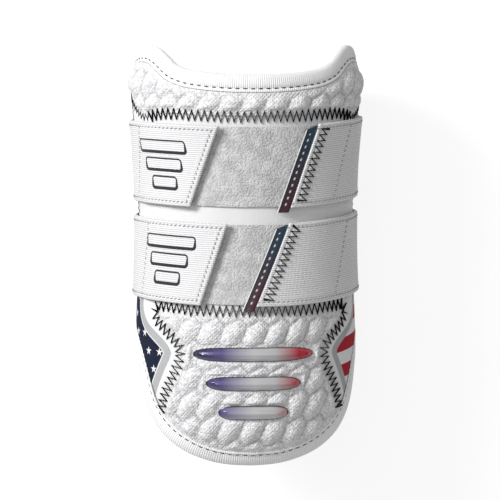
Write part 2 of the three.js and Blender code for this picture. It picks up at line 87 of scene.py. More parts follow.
# Radius at the covers' rims, and the puff given to the flat parts of the quilting, which sets how much
# painted crease shade they get
COVER_ROUND = 1.3
FLAT_PUFF = 0.45
STRAP_WIDTH = 43.5
STRAP_THICK = 2.0
RIGHT_CLIMB = 4.2
LEFT_CLIMB = 2.1
TAB_LIFT = 1.3
TAB_BEND = 22.0
LOOP_WIDTH = 42.0
LOOP_FADE = 14.0
LOOP_CLEAR = 6.0
LABEL_THICK = 0.8
LABEL_WIDTH = 6.0
LABEL_LENGTH = 45.0
LABEL_DROP = 1.5
LABEL_SLANT = 2.2
RIB_WIDTH = 7.5
RIB_HEIGHT = 2.6
LOBE_SHEAR = math.tan(math.radians(30))

# Along the arm, half width, rise of the front
SECTIONS = np.array([
    (-1.07, 0.755, 0.56),
    (-1.0, 0.835, 0.675),
    (-0.93, 0.903, 0.785),
    (-0.84, 0.957, 0.88),
    (-0.71, 0.995, 0.953),
    (-0.53, 1.006, 0.994),
    (-0.265, 0.992, 1.01),
    (0.0, 0.975, 1.0),
    (0.21, 0.972, 0.985),
    (0.44, 0.985, 0.98),
    (0.64, 1.015, 0.99),
    (0.77, 1.036, 1.0),
    (0.84, 1.036, 1.0),
    (0.91, 1.014, 0.975),
    (1.0, 0.985, 0.935),
    (1.07, 0.96, 0.89),
])

# Wrap, along the arm
TONGUE_EDGE = [
    (0, -1.0), (12, -0.996), (22, -0.985), (32, -0.963), (40, -0.937), (48, -0.901),
    (56, -0.851), (62, -0.798), (67, -0.735), (71, -0.665), (75, -0.59), (80, -0.52),
    (87, -0.46), (95, -0.415), (104, -0.378), (114, -0.345), (121, -0.31), (125.5, -0.265),
    (WRAP, -0.21),
]
COLLAR_EDGE = [
    (0, 0.843), (12, 0.846), (24, 0.854), (36, 0.87), (45, 0.897), (52, 0.934),
    (59, 0.966), (67, 0.983), (76, 0.984), (86, 0.971), (95, 0.949), (104, 0.92),
    (112, 0.881), (119, 0.835), (124, 0.775), (WRAP, 0.69),
]
COLLAR_SEAM = [
    (0, 0.672), (20, 0.674), (35, 0.68), (47, 0.684), (56, 0.679), (62, 0.668),
    (67, 0.664), (73, 0.68), (80, 0.712), (87, 0.742), (95, 0.772), (103, 0.797),
    (111, 0.81),
]
TONGUE_SEAM_ALONG = -0.252
WAIST_SEAM = [
    (54.4, -0.768), (52.1, -0.703), (49.8, -0.659), (47.1, -0.6145), (44.1, -0.566), (41.1, -0.518),
    (39.3, -0.4725), (40, -0.44), (42.9, -0.403), (49, -0.361), (55, -0.315), (58, TONGUE_SEAM_ALONG),
]
SIDE_SEAM = [
    (58, TONGUE_SEAM_ALONG), (62, -0.21), (71, -0.12), (80, -0.02), (86, 0.1), (88, 0.25),
    (88, 0.5), (88, 0.752),
]
# Line that the printed bands keep their distance from, between the waist and the side seam
BAND_TURN = [
    (43.2, -0.395), (48.5, -0.355), (54.5, -0.323), (61, -0.29), (65.2, -0.253), (66, -0.2), (69, -0.11),
]
# Wraps of the foot and the head of both ends, wrap of the loop strip's ends, middle of the print on the tab
STRAPS = {
    "upper": {
        "along": 0.432, "sewn": (18.4, 33.6), "tab": (-32.7, -17), "loop_end": 56, "print": (-49, 49.1),
    },
    "lower": {
        "along": -0.033, "sewn": (0.7, 17.9), "tab": (-26.8, -13.2), "loop_end": 52, "print": (-46.5, -1.4),
    },
}
# White margin, grey band and white line along the front of each print
LEFT_BORDER = (6.0, 4.5, 0.6)
RIGHT_BORDER = (6.0, 3.7, 0.01)
PRINT_BLUR = 0.25
STAR_PITCH = (8.7, 9.4)
STAR_RADIUS = 2.4
STAR_NOTCH = 0.382
FIRST_STAR = (-60.6, -51.4)
STRIPE_PITCH = 14.0
# Reach to both sides and level of each bar on a tab
BARS = ((16.0, 9.6), (12.0, 0.0), (8.0, -9.6))
BAR_ROUND = 1.6
DASH_PITCH = 3.4
# Along the arm, reach to both sides
RIBS = {"upper": (-0.46, 0.53), "middle": (-0.6, 0.42), "lower": (-0.74, 0.31)}

# Distances over which the quilting rises from the tape and from a seam
HEM_FADE = (0.6, 4.6)
SEAM_FADE = (1.2, 5.6)
RIB_FADE = (0.2, 1.8)

# Threads: distances on the guard in millimetres, values for the recipes in metres
SEAM_TURN = [(52.3, -38.2), (57, -34.6), (60, -30.2)]
SEAM_RISE = 1.7
SEAM_ROUND = 1.6
SEAM_LIFT = 0.5
SIDE_ZIGZAG = {"Pitch": 0.003, "Width": 0.0036}
STRAP_ZIGZAG = {"Pitch": 0.0032, "Width": 0.0047}
SIDE_THREAD = 0.55
STRAP_THREAD = 1.25
ZIGZAG_FROM_END = 4.4
BINDING_STITCH = {"Pitch": 0.0041, "Length": 0.0025, "Thread": 0.00032, "Slant": 0.0}
STRAP_STITCH = {"Pitch": 0.0026, "Length": 0.0019, "Thread": 0.00032, "Slant": 0.7}
STITCH_FROM_HEM = 1.85
STITCH_SINK = 0.08
TAB_STITCHES = (3.2, 47.0)
TACK_WRAPS = (44, 58)

# Stage, in metres and degrees
FLOOR_HALF = 4.0
FLOOR_DROP = 0.0004
WORLD_STRENGTH = 0.41
LAMP_TARGET = (0, 0, 0.05)
# Name, place, size, power
LAMPS = (
    ("key", (-1.25, 0.8, 0.92), 0.55, 30),
    ("fill", (-0.3, 0.5, 1.7), 1.2, 2.5),
    ("low_fill", (-0.2, -1.3, 0.9), 0.9, 1.5),
)
CAMERA_YAW = -5.2
CAMERA_TILT = 4.3
CAMERA_TARGET = (0.0018, 0.0015, 0.048)
PICTURE_WIDTH = 0.27075
SENSOR = 36


def smooth_through(keys, values, x):
    """Smooth curve through the values at rising keys, level past both ends."""
    x = np.asarray(x, float)
    i = np.clip(np.searchsorted(keys, x, side="right") - 1, 0, len(keys) - 2)
    here = np.arange(len(keys))
    before, after = np.maximum(here - 1, 0), np.minimum(here + 1, len(keys) - 1)
    slopes = (values[after] - values[before]) / (keys[after] - keys[before])
    span = keys[i + 1] - keys[i]
    t = np.clip((x - keys[i]) / span, 0, 1)
    rise = slopes[i] * span * t * (1 - t) ** 2 + slopes[i + 1] * span * t * t * (t - 1)
    return values[i] * (1 + 2 * t) * (1 - t) ** 2 + values[i + 1] * t * t * (3 - 2 * t) + rise


def smoothstep(x, low, high):
    """0 below low, 1 above high and smooth between."""
    t = np.clip((x - low) / (high - low), 0, 1)
    return t * t * (3 - 2 * t)


def paired(first, second):
    """Two coordinates spread over each other, as an array of pairs."""
    return np.stack(np.broadcast_arrays(first, second), axis=-1)


def skin(place):
    """Points of the core's outer face, in millimetres, for an array of (wrap, y)."""
    angle, y = np.radians(place[..., 0]), place[..., 1]
    half = HALF_WIDTH * smooth_through(SECTIONS[:, 0], SECTIONS[:, 1], y / HALF_LENGTH)
    rise = FRONT_RISE * smooth_through(SECTIONS[:, 0], SECTIONS[:, 2], y / HALF_LENGTH)
    reach = np.where(np.cos(angle) > 0, rise, REAR_REACH)
    return np.stack([half * np.sin(angle), y, reach * np.cos(angle)], axis=-1)


def unit(v):
    """Vectors brought to length 1."""
    return v / np.linalg.norm(v, axis=-1, keepdims=True)


def tangents(place):
    """The surface's two grid directions, per degree and per millimetre, and its outward normal."""
    steps = np.array([(0.25, 0), (0, 0.25)])
    around, along = [(skin(place + step) - skin(place - step)) / (2 * step.sum()) for step in steps]
    return around, along, unit(np.cross(around, along))


def over(place, height):
    """Points at a height over the core's outer face, for an array of (wrap, y)."""
    return skin(place) + tangents(place)[2] * np.asarray(height)[..., None]


TURN_LEVEL = over(np.array([WRAP, 0.0]), -EDGE_THICK / 2)[2]
SEAT = np.array([0, 0.488, EDGE_THICK / 2 + HEM_TOP + GAP + STRAP_THICK - TURN_LEVEL])


def table_curve(rows, count):
    """Smooth run of (wrap, y) points through a table's rows."""
    rows = np.array(rows, float) * (1, HALF_LENGTH)
    padded = np.vstack([rows[:1], rows, rows[-1:]])
    t = np.linspace(0, len(rows) - 1, count)
    i = np.minimum(t.astype(int), len(rows) - 2)
    f = (t - i)[:, None]
    a, b, c, d = padded[i], padded[i + 1], padded[i + 2], padded[i + 3]
    lean_in, lean_out = (c - a) / 2, (d - b) / 2
    cubic = (2 * b - 2 * c + lean_in + lean_out) * f**3
    return cubic + (-3 * b + 3 * c - 2 * lean_in - lean_out) * f**2 + lean_in * f + b


def mirror(points):
    """A run on the other side of the centre line."""
    return points * (-1, 1)


def both_sides(right):
    """A right half, from the centre line outwards, made whole from left to right."""
    return np.vstack([mirror(right[1:])[::-1], right])


def run_lengths(points):
    """Length of a run of points up to each of them."""
    return np.concatenate([[0], np.cumsum(np.linalg.norm(np.diff(points, axis=0), axis=-1))])


def reach_along(points):
    """Distance along a run of (wrap, y) points, measured on the surface."""
    return run_lengths(skin(points))


def travel(points, shares):
    """Points at shares of a run's length."""
    lengths = reach_along(points)
    wanted = shares * lengths[-1]
    return paired(*(np.interp(wanted, lengths, values) for values in points.T))


def rounded(points, reach):
    """A run with its corners rounded, by averaging over a reach in millimetres to both sides."""
    step = 0.4
    even = travel(points, np.linspace(0, 1, int(reach_along(points)[-1] / step)))
    half = int(reach / step)
    padded = np.vstack([np.repeat(even[:1], half, axis=0), even, np.repeat(even[-1:], half, axis=0)])
    box = np.full(2 * half + 1, 1 / (2 * half + 1))
    return paired(*(np.convolve(values, box, "valid") for values in padded.T))


def crossing(points, axis, value):
    """Where a run first reaches a value of one coordinate: the point, and the index after it."""
    side = points[:, axis] - value
    after = int(np.nonzero(side[1:] * side[:-1] <= 0)[0][0]) + 1
    share = side[after - 1] / (side[after - 1] - side[after])
    return points[after - 1] + (points[after] - points[after - 1]) * share, after


def shifted(points, around, along):
    """A run of (wrap, y) points moved by millimetres round the guard and along it."""
    return points + (math.degrees(around / HALF_WIDTH), along)


# The fold line of the edge, from the foot of the left rear edge round the tongue, and lines inside it
ACROSS, UPRIGHT = 420, 120
shares = np.linspace(0, 1, ACROSS + 1)
tongue_row = travel(both_sides(table_curve(TONGUE_EDGE, 400)), shares)
collar_row = travel(both_sides(table_curve(COLLAR_EDGE, 400)), shares)
rise = np.linspace(0, 1, UPRIGHT + 1)[:, None]
right_row = tongue_row[-1] + (collar_row[-1] - tongue_row[-1]) * rise
left_row = tongue_row[0] + (collar_row[0] - tongue_row[0]) * rise
edge = np.vstack([tongue_row[:-1], right_row[:-1], collar_row[:0:-1], left_row[:0:-1]])


def inward(points):
    """Unit direction in from each point of the closed edge, along the surface."""
    places = skin(points)
    run = np.roll(places, -3, axis=0) - np.roll(places, 3, axis=0)
    return unit(np.cross(tangents(points)[2], run))


EDGE_IN = inward(edge)


def inset(distance):
    """The closed edge moved in from the fold line."""
    around, along, _ = tangents(edge)
    a, b = (EDGE_IN * around).sum(1), (EDGE_IN * along).sum(1)
    aa, bb, ab = (around**2).sum(1), (along**2).sum(1), (around * along).sum(1)
    det = aa * bb - ab * ab
    return edge + paired((a * bb - b * ab) / det, (b * aa - a * ab) / det) * distance


# Width of the tape on the outside at each point of the edge
TAPE_LEGS = (COLLAR_LEG + (TONGUE_LEG - COLLAR_LEG) * smoothstep(-edge[:, 1], -50, 60))[:, None]
hem_line = inset(TAPE_LEGS + HEM_GAP)
tongue_hem = hem_line[: ACROSS + 1]
collar_hem = hem_line[ACROSS + UPRIGHT : 2 * ACROSS + UPRIGHT + 1][::-1]
right_hem = hem_line[ACROSS // 2 : ACROSS + UPRIGHT + ACROSS // 2]

collar_seam = table_curve(COLLAR_SEAM, 300)
side_seam = table_curve(SIDE_SEAM, 160)
waist_seam = table_curve(WAIST_SEAM, 160)
band_line = table_curve(WAIST_SEAM[:8] + BAND_TURN + SIDE_SEAM[3:], 300)
tongue_seam_y = TONGUE_SEAM_ALONG * HALF_LENGTH


def distance_to_run(place, run):
    """Distance of each point of a grid from a run of points, on the surface."""
    here = skin(place)
    nearest = np.full(here.shape[:-1], FAR)
    for point in skin(run):
        nearest = np.minimum(nearest, np.linalg.norm(here - point, axis=-1))
    return nearest


def core_thickness(place):
    """The core thins towards its edge."""
    return EDGE_THICK + (CORE_THICK - EDGE_THICK) * smoothstep(distance_to_run(place, edge[::6]), 0, SKIVE)


def between(lower, upper, left, right, across, along):
    """Grid of (wrap, y) points between four runs."""
    u = np.linspace(0, 1, across + 1)
    v = np.linspace(0, 1, along + 1)
    low, high = travel(lower, u)[:, None], travel(upper, u)[:, None]
    near, far = travel(left, v)[None], travel(right, v)[None]
    u, v = u[:, None, None], v[None, :, None]
    corners = (1 - u) * (1 - v) * lower[0] + u * (1 - v) * lower[-1]
    corners = corners + (1 - u) * v * upper[0] + u * v * upper[-1]
    return (1 - v) * low + v * high + (1 - u) * near + u * far - corners


ARC_WRAPS = np.linspace(-140, 140, 561)
ARC_LENGTHS = reach_along(paired(ARC_WRAPS, 0))
ARC_LENGTHS -= ARC_LENGTHS[280]


def flat_pattern(place):
    """Cloth coordinates in metres: round the guard from its front centre line, and along it."""
    return paired(np.interp(place[..., 0], ARC_WRAPS, ARC_LENGTHS), place[..., 1]) * MM


def quarter_round(away, radius):
    """0 at no distance and 1 past a radius, as a quarter circle."""
    return np.sqrt(1 - (1 - np.clip(away / radius, 0, 1)) ** 2)


def from_rim(place):
    """Distance of each point of a grid from the grid's rim."""
    rim = np.concatenate([place[0], place[-1], place[:, 0], place[:, -1]])
    return distance_to_run(place, rim[::2])


def edge_round(place, radius):
    """0 at the rim of a grid and 1 past a radius in from it."""
    return quarter_round(from_rim(place), radius)


def ripple(place, size, seed):
    """Slow unevenness of hand-sewn cloth, from -1 to 1."""
    p = flat_pattern(place) / MM / size
    waves = [(1.0, 0.31, 0.0), (-0.42, 0.93, 1.7), (0.77, -0.68, 3.1), (0.15, 1.37, 4.4)]
    return sum(np.sin(a * p[..., 0] + b * p[..., 1] + c + seed) for a, b, c in waves) / 4


def quilt_height(place, relief, pitch):
    """Puffed lobes in upright columns, leaning to the right: 0 in the creases and relief at the crowns."""
    column_pitch = pitch * math.cos(math.radians(30))
    p = flat_pattern(place) / MM
    x = p[..., 0] + 0.12 * pitch * ripple(place, 13, 0.4)
    y = p[..., 1] + 0.12 * pitch * ripple(place, 11, 2.2) - LOBE_SHEAR * x
    column = np.round(x / column_pitch)
    first = np.full(x.shape, FAR)
    second = first
    for i in (column - 1, column, column + 1):
        shift = (np.abs(i) % 2) * 0.5
        row = np.round(y / pitch - shift)
        for j in (row - 1, row, row + 1):
            away = np.hypot(x - i * column_pitch, y - (j + shift) * pitch)
            second = np.minimum(second, np.maximum(first, away))
            first = np.minimum(first, away)
    puff = np.clip((second - first) / pitch, 0, 1)
    return relief * (1 - (1 - puff) ** 1.75)


def clear_of_ribs(place):
    """0 under and beside a rib, 1 clear of them all."""
    x = np.abs(skin(place)[..., 0])
    share = np.ones(x.shape)
    for along, reach in RIBS.values():
        beyond = np.maximum(0, x - reach * HALF_WIDTH)
        beside = np.maximum(0, np.abs(place[..., 1] - along * HALF_LENGTH) - RIB_WIDTH / 2)
        share = np.minimum(share, smoothstep(np.hypot(beyond, beside), *RIB_FADE))
    return share


# Meshes


def put(name, data):
    """Object in the scene's collection."""
    placed = bpy.data.objects.new(name, data)
    bpy.context.scene.collection.objects.link(placed)
    return placed


def mesh_piece(name, points, faces, uv, attributes=None):
    """Object at the origin from points in millimetres in the form's frame."""
    made = bpy.data.meshes.new(name)
    made.from_pydata(((points + SEAT) * MM).tolist(), [], faces.tolist())
    made.shade_smooth()
    made.set_sharp_from_angle(angle=math.radians(40))
    layer = made.uv_layers.new(name="UVMap")
    corner = np.zeros(len(made.loops), np.int32)
    made.loops.foreach_get("vertex_index", corner)
    layer.data.foreach_set("uv", uv[corner].astype(np.float32).ravel())
    for label, values in (attributes or {}).items():
        kept = made.attributes.new(label, "FLOAT", "POINT")
        kept.data.foreach_set("value", values.astype(np.float32).ravel())
    return put(name, made)


def grid_faces(first, across, along):
    """Quads of a grid whose first point has the given index."""
    i, j = np.meshgrid(np.arange(across), np.arange(along), indexing="ij")
    a = first + i * (along + 1) + j
    return np.stack([a, a + along + 1, a + along + 2, a + 1], axis=-1).reshape(-1, 4)


def rim_of(across, along):
    """Grid indices round a grid's rim, in order."""
    step = along + 1
    lower = np.arange(across) * step
    right = across * step + np.arange(along)
    upper = np.arange(across, 0, -1) * step + along
    left = np.arange(along, 0, -1)
    return np.concatenate([lower, right, upper, left])


def slab(name, low, high, uv, attributes=None):
    """Closed sheet between two grids of points."""
    across, along = low.shape[0] - 1, low.shape[1] - 1
    count = (across + 1) * (along + 1)
    rim = rim_of(across, along)
    ahead = np.roll(rim, -1)
    walls = np.stack([count + rim, count + ahead, ahead, rim], axis=-1)
    faces = np.vstack([grid_faces(0, across, along), grid_faces(count, across, along)[:, ::-1], walls])
    points = np.vstack([high.reshape(-1, 3), low.reshape(-1, 3)])
    doubled = {label: np.tile(values.ravel(), 2) for label, values in (attributes or {}).items()}
    return mesh_piece(name, points, faces, np.tile(uv.reshape(-1, 2), (2, 1)), doubled)


def finish_piece(piece, material, nodes=()):
    """Gives a piece its material and body, and hides the solids that it stands for."""
    if material is not None:
        piece.data.materials.clear()
        piece.data.materials.append(material)
    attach(piece, "root")
    if nodes:
        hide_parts(*nodes)
    return piece


# Shaders and geometry recipes


class Socket:
    """A node's output: sums and products of it add Math nodes to its tree."""

    def __init__(self, graph, output):
        self.graph = graph
        self.output = output

    def maths(self, operation, *others):
        return self.graph.node("ShaderNodeMath", {"operation": operation}, [self, *others])

    __add__ = __radd__ = partialmethod(maths, "ADD")
    __sub__ = partialmethod(maths, "SUBTRACT")
    __mul__ = __rmul__ = partialmethod(maths, "MULTIPLY")
    __truediv__ = partialmethod(maths, "DIVIDE")
    __abs__ = partialmethod(maths, "ABSOLUTE")

    def __rsub__(self, other):
        return self.graph.node("ShaderNodeMath", {"operation": "SUBTRACT"}, [other, self])

    def rising(self, low, high):
        """0 below low, 1 above high and smooth between."""
        limits = {"Value": self, "From Min": low, "From Max": high}
        return self.graph.node("ShaderNodeMapRange", {"interpolation_type": "SMOOTHSTEP"}, limits)

    def wave(self, period):
        """A cosine of the value, from 0 to 1, with its crowns at whole periods."""
        return (self * (2 * math.pi / period)).maths("COSINE") * 0.5 + 0.5


class Graph:
    """A node tree that is filled by calls."""

    def __init__(self, tree):
        self.tree = tree
        tree.nodes.clear()

    def node(self, kind, settings=None, inputs=(), output=0):
        """Adds a node: settings first, then the values or links of its sockets, by order or by name."""
        made = self.tree.nodes.new(kind)
        for key, value in (settings or {}).items():
            setattr(made, key, value)
        named = inputs.items() if isinstance(inputs, dict) else enumerate(inputs)
        for key, value in named:
            self.plug(made.inputs[key], value)
        return Socket(self, made.outputs[output]) if made.outputs else None

    def plug(self, socket, value):
        if isinstance(value, Socket):
            self.tree.links.new(value.output, socket)
        elif socket.type == "RGBA" and len(value) == 3:
            socket.default_value = (*value, 1)
        else:
            socket.default_value = value

    def mix(self, share, first, second):
        """Colour between two, by a share from 0 to 1."""
        return self.node("ShaderNodeMix", {"data_type": "RGBA"}, {0: share, 6: first, 7: second}, 2)

    def ramp(self, share, stops):
        """Colour from a list of (share, colour) stops."""
        faded = self.node("ShaderNodeValToRGB", None, [share])
        elements = faded.output.node.color_ramp.elements
        while len(elements) < len(stops):
            elements.new(1)
        for element, (position, colour) in zip(elements, stops):
            element.position = position
            element.color = (*colour, 1)
        return faded

    def split(self, vector):
        """The three parts of a vector."""
        parts = self.node("ShaderNodeSeparateXYZ", None, [vector]).output.node
        return [Socket(self, out) for out in parts.outputs]


class Finish(Graph):
    """A material's tree, with the coordinates that its patterns use."""

    def __init__(self, name):
        self.material = bpy.data.materials.new(name)
        self.material.use_nodes = True
        super().__init__(self.material.node_tree)

    def cloth(self):
        """The piece's own cloth coordinates in millimetres."""
        place = self.node("ShaderNodeUVMap", {"uv_map": "UVMap"})
        u, v, _ = self.split(place)
        return u * 1000, v * 1000

    def place(self):
        """Place in the row frame, in millimetres."""
        place = self.node("ShaderNodeTexCoord", output="Object")
        return [part * 1000 for part in self.split(place)]

    def value(self, name):
        """A number that the mesh carries at its points."""
        return self.node("ShaderNodeAttribute", {"attribute_name": name}, output="Fac")

    def noise(self, size, detail=2.0):
        """Noise from 0 to 1 with lumps of a size in millimetres, on the place in the row frame."""
        place = self.node("ShaderNodeTexCoord", output="Object")
        moved = self.node("ShaderNodeMapping", None, {"Vector": place})
        inputs = {"Vector": moved, "Scale": 1000 / size, "Detail": detail}
        return self.node("ShaderNodeTexNoise", None, inputs)

    def close(self, colour, roughness, height=None, depth=0.1, **fixed):
        """Ends the tree in a shader, with a bump height from 0 to 1 over a depth in millimetres."""
        inputs = {"Base Color": colour, "Roughness": roughness}
        if height is not None:
            bump = {"Strength": 1.0, "Distance": depth * MM, "Height": height}
            inputs["Normal"] = self.node("ShaderNodeBump", None, bump)
        inputs.update({key.replace("_", " "): value for key, value in fixed.items()})
        shader = self.node("ShaderNodeBsdfPrincipled", None, inputs)
        self.node("ShaderNodeOutputMaterial", None, [shader])
        return self.material


def toned(colour, share):
    """A colour with every channel multiplied, up to 1."""
    return [min(1, c * share) for c in colour]


def weave_height(finish, across, along):
    """Fine knit: crossing rows of small loops, with a little unevenness."""
    u, v = finish.cloth()
    loops = u.wave(across) * v.wave(along)
    return loops * 0.75 + finish.noise(0.8, 3) * 0.5


def lining_finish(colours):
    finish = Finish("Brushed lining")
    u, v = finish.cloth()
    pores = (u.wave(3.2) * v.wave(3.2)).rising(0.55, 0.9)
    tone = finish.noise(6, 4) * 0.5 + pores * 0.35
    colour = finish.mix(tone, colours.lining, toned(colours.lining, 0.72))
    return finish.close(colour, 0.95, weave_height(finish, 0.9, 0.7) - pores * 0.6, 0.25, Sheen_Weight=0.3)


def tape_finish(colours):
    finish = Finish("Ribbed binding tape")
    u, v = finish.cloth()
    ribs = u.wave(1.15)
    pale = toned(colours.white, 1.22)
    flat = finish.mix((1 - ribs) * 0.26 + finish.noise(9, 3) * 0.08, pale, colours.shade)
    _, y, _ = finish.place()
    # Painted shade: the tape darkens where it turns under at its outer fold, more strongly round the tongue.
    fold = (0 - v).rising(0.8, 3.4) * (0 - y).rising(30, 85)
    colour = finish.mix(fold * 0.5, flat, toned(colours.shade, 0.55))
    height = ribs * 0.8 + v.wave(0.5) * 0.12 + finish.noise(0.6, 2) * 0.25
    return finish.close(colour, 0.8, height, 0.22, Sheen_Weight=0.15)


def quilt_finish(colours):
    finish = Finish("Embossed knit")
    u, v = finish.cloth()
    # Painted shade: the colour darkens in the quilting's creases, where the puff attribute is low.
    painted_crease_shade = 1 - finish.value("puff").rising(0.0, 0.3)
    pores = 1 - (u + v).wave(1.9) * (u - v).wave(1.9)
    speckle = finish.noise(1.5, 2).rising(0.36, 0.64)
    tone = painted_crease_shade * 0.4 + pores * 0.2 + speckle * 0.4 + finish.noise(14, 3) * 0.08
    pale = toned(colours.white, 1.15)
    colour = finish.mix(tone, pale, colours.shade)
    height = speckle * 0.5 - pores * 0.5 + 0.5
    return finish.close(colour, 0.88, height, 0.42, Sheen_Weight=0.15)


def cover_finish(colours):
    finish = Finish("Smooth knit cover")
    colour = finish.mix(finish.noise(18, 3) * 0.18 + finish.noise(0.7) * 0.1, colours.white, colours.shade)
    return finish.close(colour, 0.75, weave_height(finish, 0.8, 0.6), 0.1, Sheen_Weight=0.15)


def border_tones(finish, colours, print_colour, border):
    """Print inside a white line, a silver-grey band and a white margin along the front seam."""
    away = finish.value("border")
    past_margin, past_band, past_line = (
        away.rising(level - PRINT_BLUR, level + PRINT_BLUR) for level in np.cumsum(border).tolist()
    )
    sheen = finish.mix(finish.noise(7, 2), colours.grey, toned(colours.grey, 0.82))
    banded = finish.mix(past_margin, colours.white, sheen)
    lined = finish.mix(past_band, banded, colours.white)
    return finish.mix(past_line, lined, print_colour)


def print_finish(finish, colours, print_colour, border):
    """Printed knit with its border, in the shade of the tape's hem at its rear edge."""
    tone = border_tones(finish, colours, print_colour, border)
    # Painted shadow: the print darkens towards the ink colour within about 2 mm of the tape's hem.
    painted_hem_shadow = (1 - finish.value("hem").rising(0.5, 1.9)) * 0.75
    # A slight random wear tone laid over the print and its painted hem shadow.
    worn_and_shadowed = finish.mix(finish.noise(1.1, 3) * 0.05, finish.mix(painted_hem_shadow, tone, colours.ink), colours.shade)
    return finish.close(worn_and_shadowed, 0.9, weave_height(finish, 0.8, 0.6), 0.12, Specular_IOR_Level=0.08)


def star_mask(u, v):
    """1 inside five-pointed stars on a staggered grid."""
    pitch_u, pitch_v = STAR_PITCH
    row = (v / pitch_v).maths("FLOOR")
    x = u + row.maths("MODULO", 2).maths("ABSOLUTE") * (pitch_u / 2)
    cell = (x / pitch_u).maths("FLOOR")
    x = x - (cell + 0.5) * pitch_u
    y = v - (row + 0.5) * pitch_v
    turn = x.maths("ARCTAN2", y) / (2 * math.pi) * 5 + 10.5
    fold = abs(turn.maths("FRACT") - 0.5) * (2 * math.pi / 5)
    away = (x * x + y * y).maths("SQRT")
    tip = np.array([STAR_RADIUS, 0])
    notch = STAR_NOTCH * STAR_RADIUS * np.array([math.cos(math.pi / 5), math.sin(math.pi / 5)])
    side = np.array([tip[1] - notch[1], notch[0] - tip[0]])
    side = side / np.linalg.norm(side)
    outward = fold.maths("COSINE") * -side[0] + fold.maths("SINE") * -side[1]
    return 1 - (away * outward - float(-side @ tip)).rising(-0.15, 0.15)


def stars_finish(colours, sizes):
    finish = Finish("Navy print with stars")
    u, v = finish.cloth()
    slant = math.radians(sizes.star_slant)
    u = u - FIRST_STAR[0]
    v = v - FIRST_STAR[1]
    across = u * math.cos(slant) + v * math.sin(slant) + 100.5 * STAR_PITCH[0]
    along = v * math.cos(slant) - u * math.sin(slant) + 100.5 * STAR_PITCH[1]
    tone = finish.mix(star_mask(across, along), colours.navy, colours.white)
    return print_finish(finish, colours, tone, LEFT_BORDER)


def stripes_finish(colours, sizes):
    finish = Finish("Red and white print")
    u, v = finish.cloth()
    slant = math.radians(sizes.stripe_slant)
    across = v * math.cos(slant) - u * math.sin(slant) + sizes.stripe_start + 100 * STRIPE_PITCH
    share = (across / STRIPE_PITCH).maths("FRACT")
    red = abs(share - 0.5).rising(0.23, 0.26)
    tone = finish.mix(red, colours.white, colours.red)
    return print_finish(finish, colours, tone, RIGHT_BORDER)


def pile_finish(colours):
    finish = Finish("Brushed loop pile")
    mottle = finish.noise(6, 5).rising(0.35, 0.65)
    fuzz = finish.noise(1.1, 4).rising(0.3, 0.7)
    colour = finish.mix(mottle * 0.5 + fuzz * 0.35, colours.pile, toned(colours.pile, 0.6))
    return finish.close(colour, 1.0, fuzz * 0.7 + mottle * 0.3, 0.5, Sheen_Weight=0.4)


def webbing_finish(colours):
    finish = Finish("Elastic webbing")
    u, v = finish.cloth()
    lines = v.wave(1.1)
    picks = u.wave(0.8)
    hem = (abs(v) - STRAP_WIDTH / 2 + 5.2).rising(-0.3, 0.3)
    slants = (u + v * 1.2).wave(2.2) * hem
    tone = (1 - lines) * 0.55 + (1 - picks) * 0.1 + slants * 0.15 + finish.noise(12, 3) * 0.1
    pale = toned(colours.white, 1.13)
    fabric = finish.mix(tone, pale, colours.shade)
    ink = bar_outlines(u, v)
    colour = finish.mix(ink, fabric, colours.ink)
    height = lines * (1 - hem * 0.7) * 0.7 + picks * 0.3 + slants * 0.3 + finish.noise(0.6, 2) * 0.2
    return finish.close(colour, 0.82, height, 0.28, Sheen_Weight=0.15)


def bar_outlines(u, v):
    """Stacked bars in outline round the print's own origin, with heavier lower edges."""
    ink = None
    for reach, level in BARS:
        over_x = (abs(u) - reach + 1.2).maths("MAXIMUM", 0)
        over_y = (abs(v - level) - 1.5).maths("MAXIMUM", 0)
        away = abs((over_x * over_x + over_y * over_y).maths("SQRT") - BAR_ROUND)
        heavy = (level - v).rising(-2.0, 2.5) * 0.4
        line = 1 - (away - heavy).rising(0.34, 0.58)
        ink = line if ink is None else ink.maths("MAXIMUM", line)
    return ink


def satin_finish(colours):
    finish = Finish("Satin label")
    u, v = finish.cloth()
    fall = (v / LABEL_LENGTH + 0.5).rising(0.02, 0.98)
    # Painted shade: side is 0 along the label's low edge, where the ribbon is darkened towards the ink
    # colour.
    side = (u / LABEL_WIDTH).rising(0.1, 1.0)
    ribbon = finish.mix(fall, colours.label_low, colours.label_high)
    ribbon = finish.mix((1 - side) * 0.7, ribbon, colours.ink)
    edge_line = (LABEL_WIDTH / 2 - u).rising(2.4, 2.6)
    dash_share = ((v + 200) / DASH_PITCH).maths("FRACT")
    dash = 1 - abs(dash_share - 0.5).rising(0.16, 0.22)
    dash = dash * (1 - abs(u - LABEL_WIDTH / 2).rising(0.3, 0.5))
    inside = 1 - abs(v).rising(LABEL_LENGTH / 2 - 3.2, LABEL_LENGTH / 2 - 3)
    marked = finish.mix(dash * inside * 0.65, ribbon, colours.white)
    colour = finish.mix(edge_line * 0.9, marked, colours.white)
    return finish.close(colour, 0.35, v.wave(0.45) * 0.6 + dash * 0.5, 0.08, Anisotropic=0.4)


def rib_finish(colours):
    finish = Finish("Faded moulded rib")
    x, _, _ = finish.place()
    share = x / 66 + 0.5
    stops = [(0.05, colours.rib_left), (0.24, colours.rib_left_soft), (0.5, colours.silver),
             (0.66, colours.silver), (0.86, colours.rib_right), (1.0, colours.rib_right)]
    colour = finish.ramp(share, stops)
    foot = finish.value("rim").rising(0.0, 0.22)
    colour = finish.mix(foot, toned(colours.rib_left, 0.25), colour)
    roughness = finish.noise(1.5, 2) * 0.12 + 0.24
    return finish.close(colour, roughness, finish.noise(0.7, 2), 0.03, Metallic=0.25, Coat_Weight=0.4)


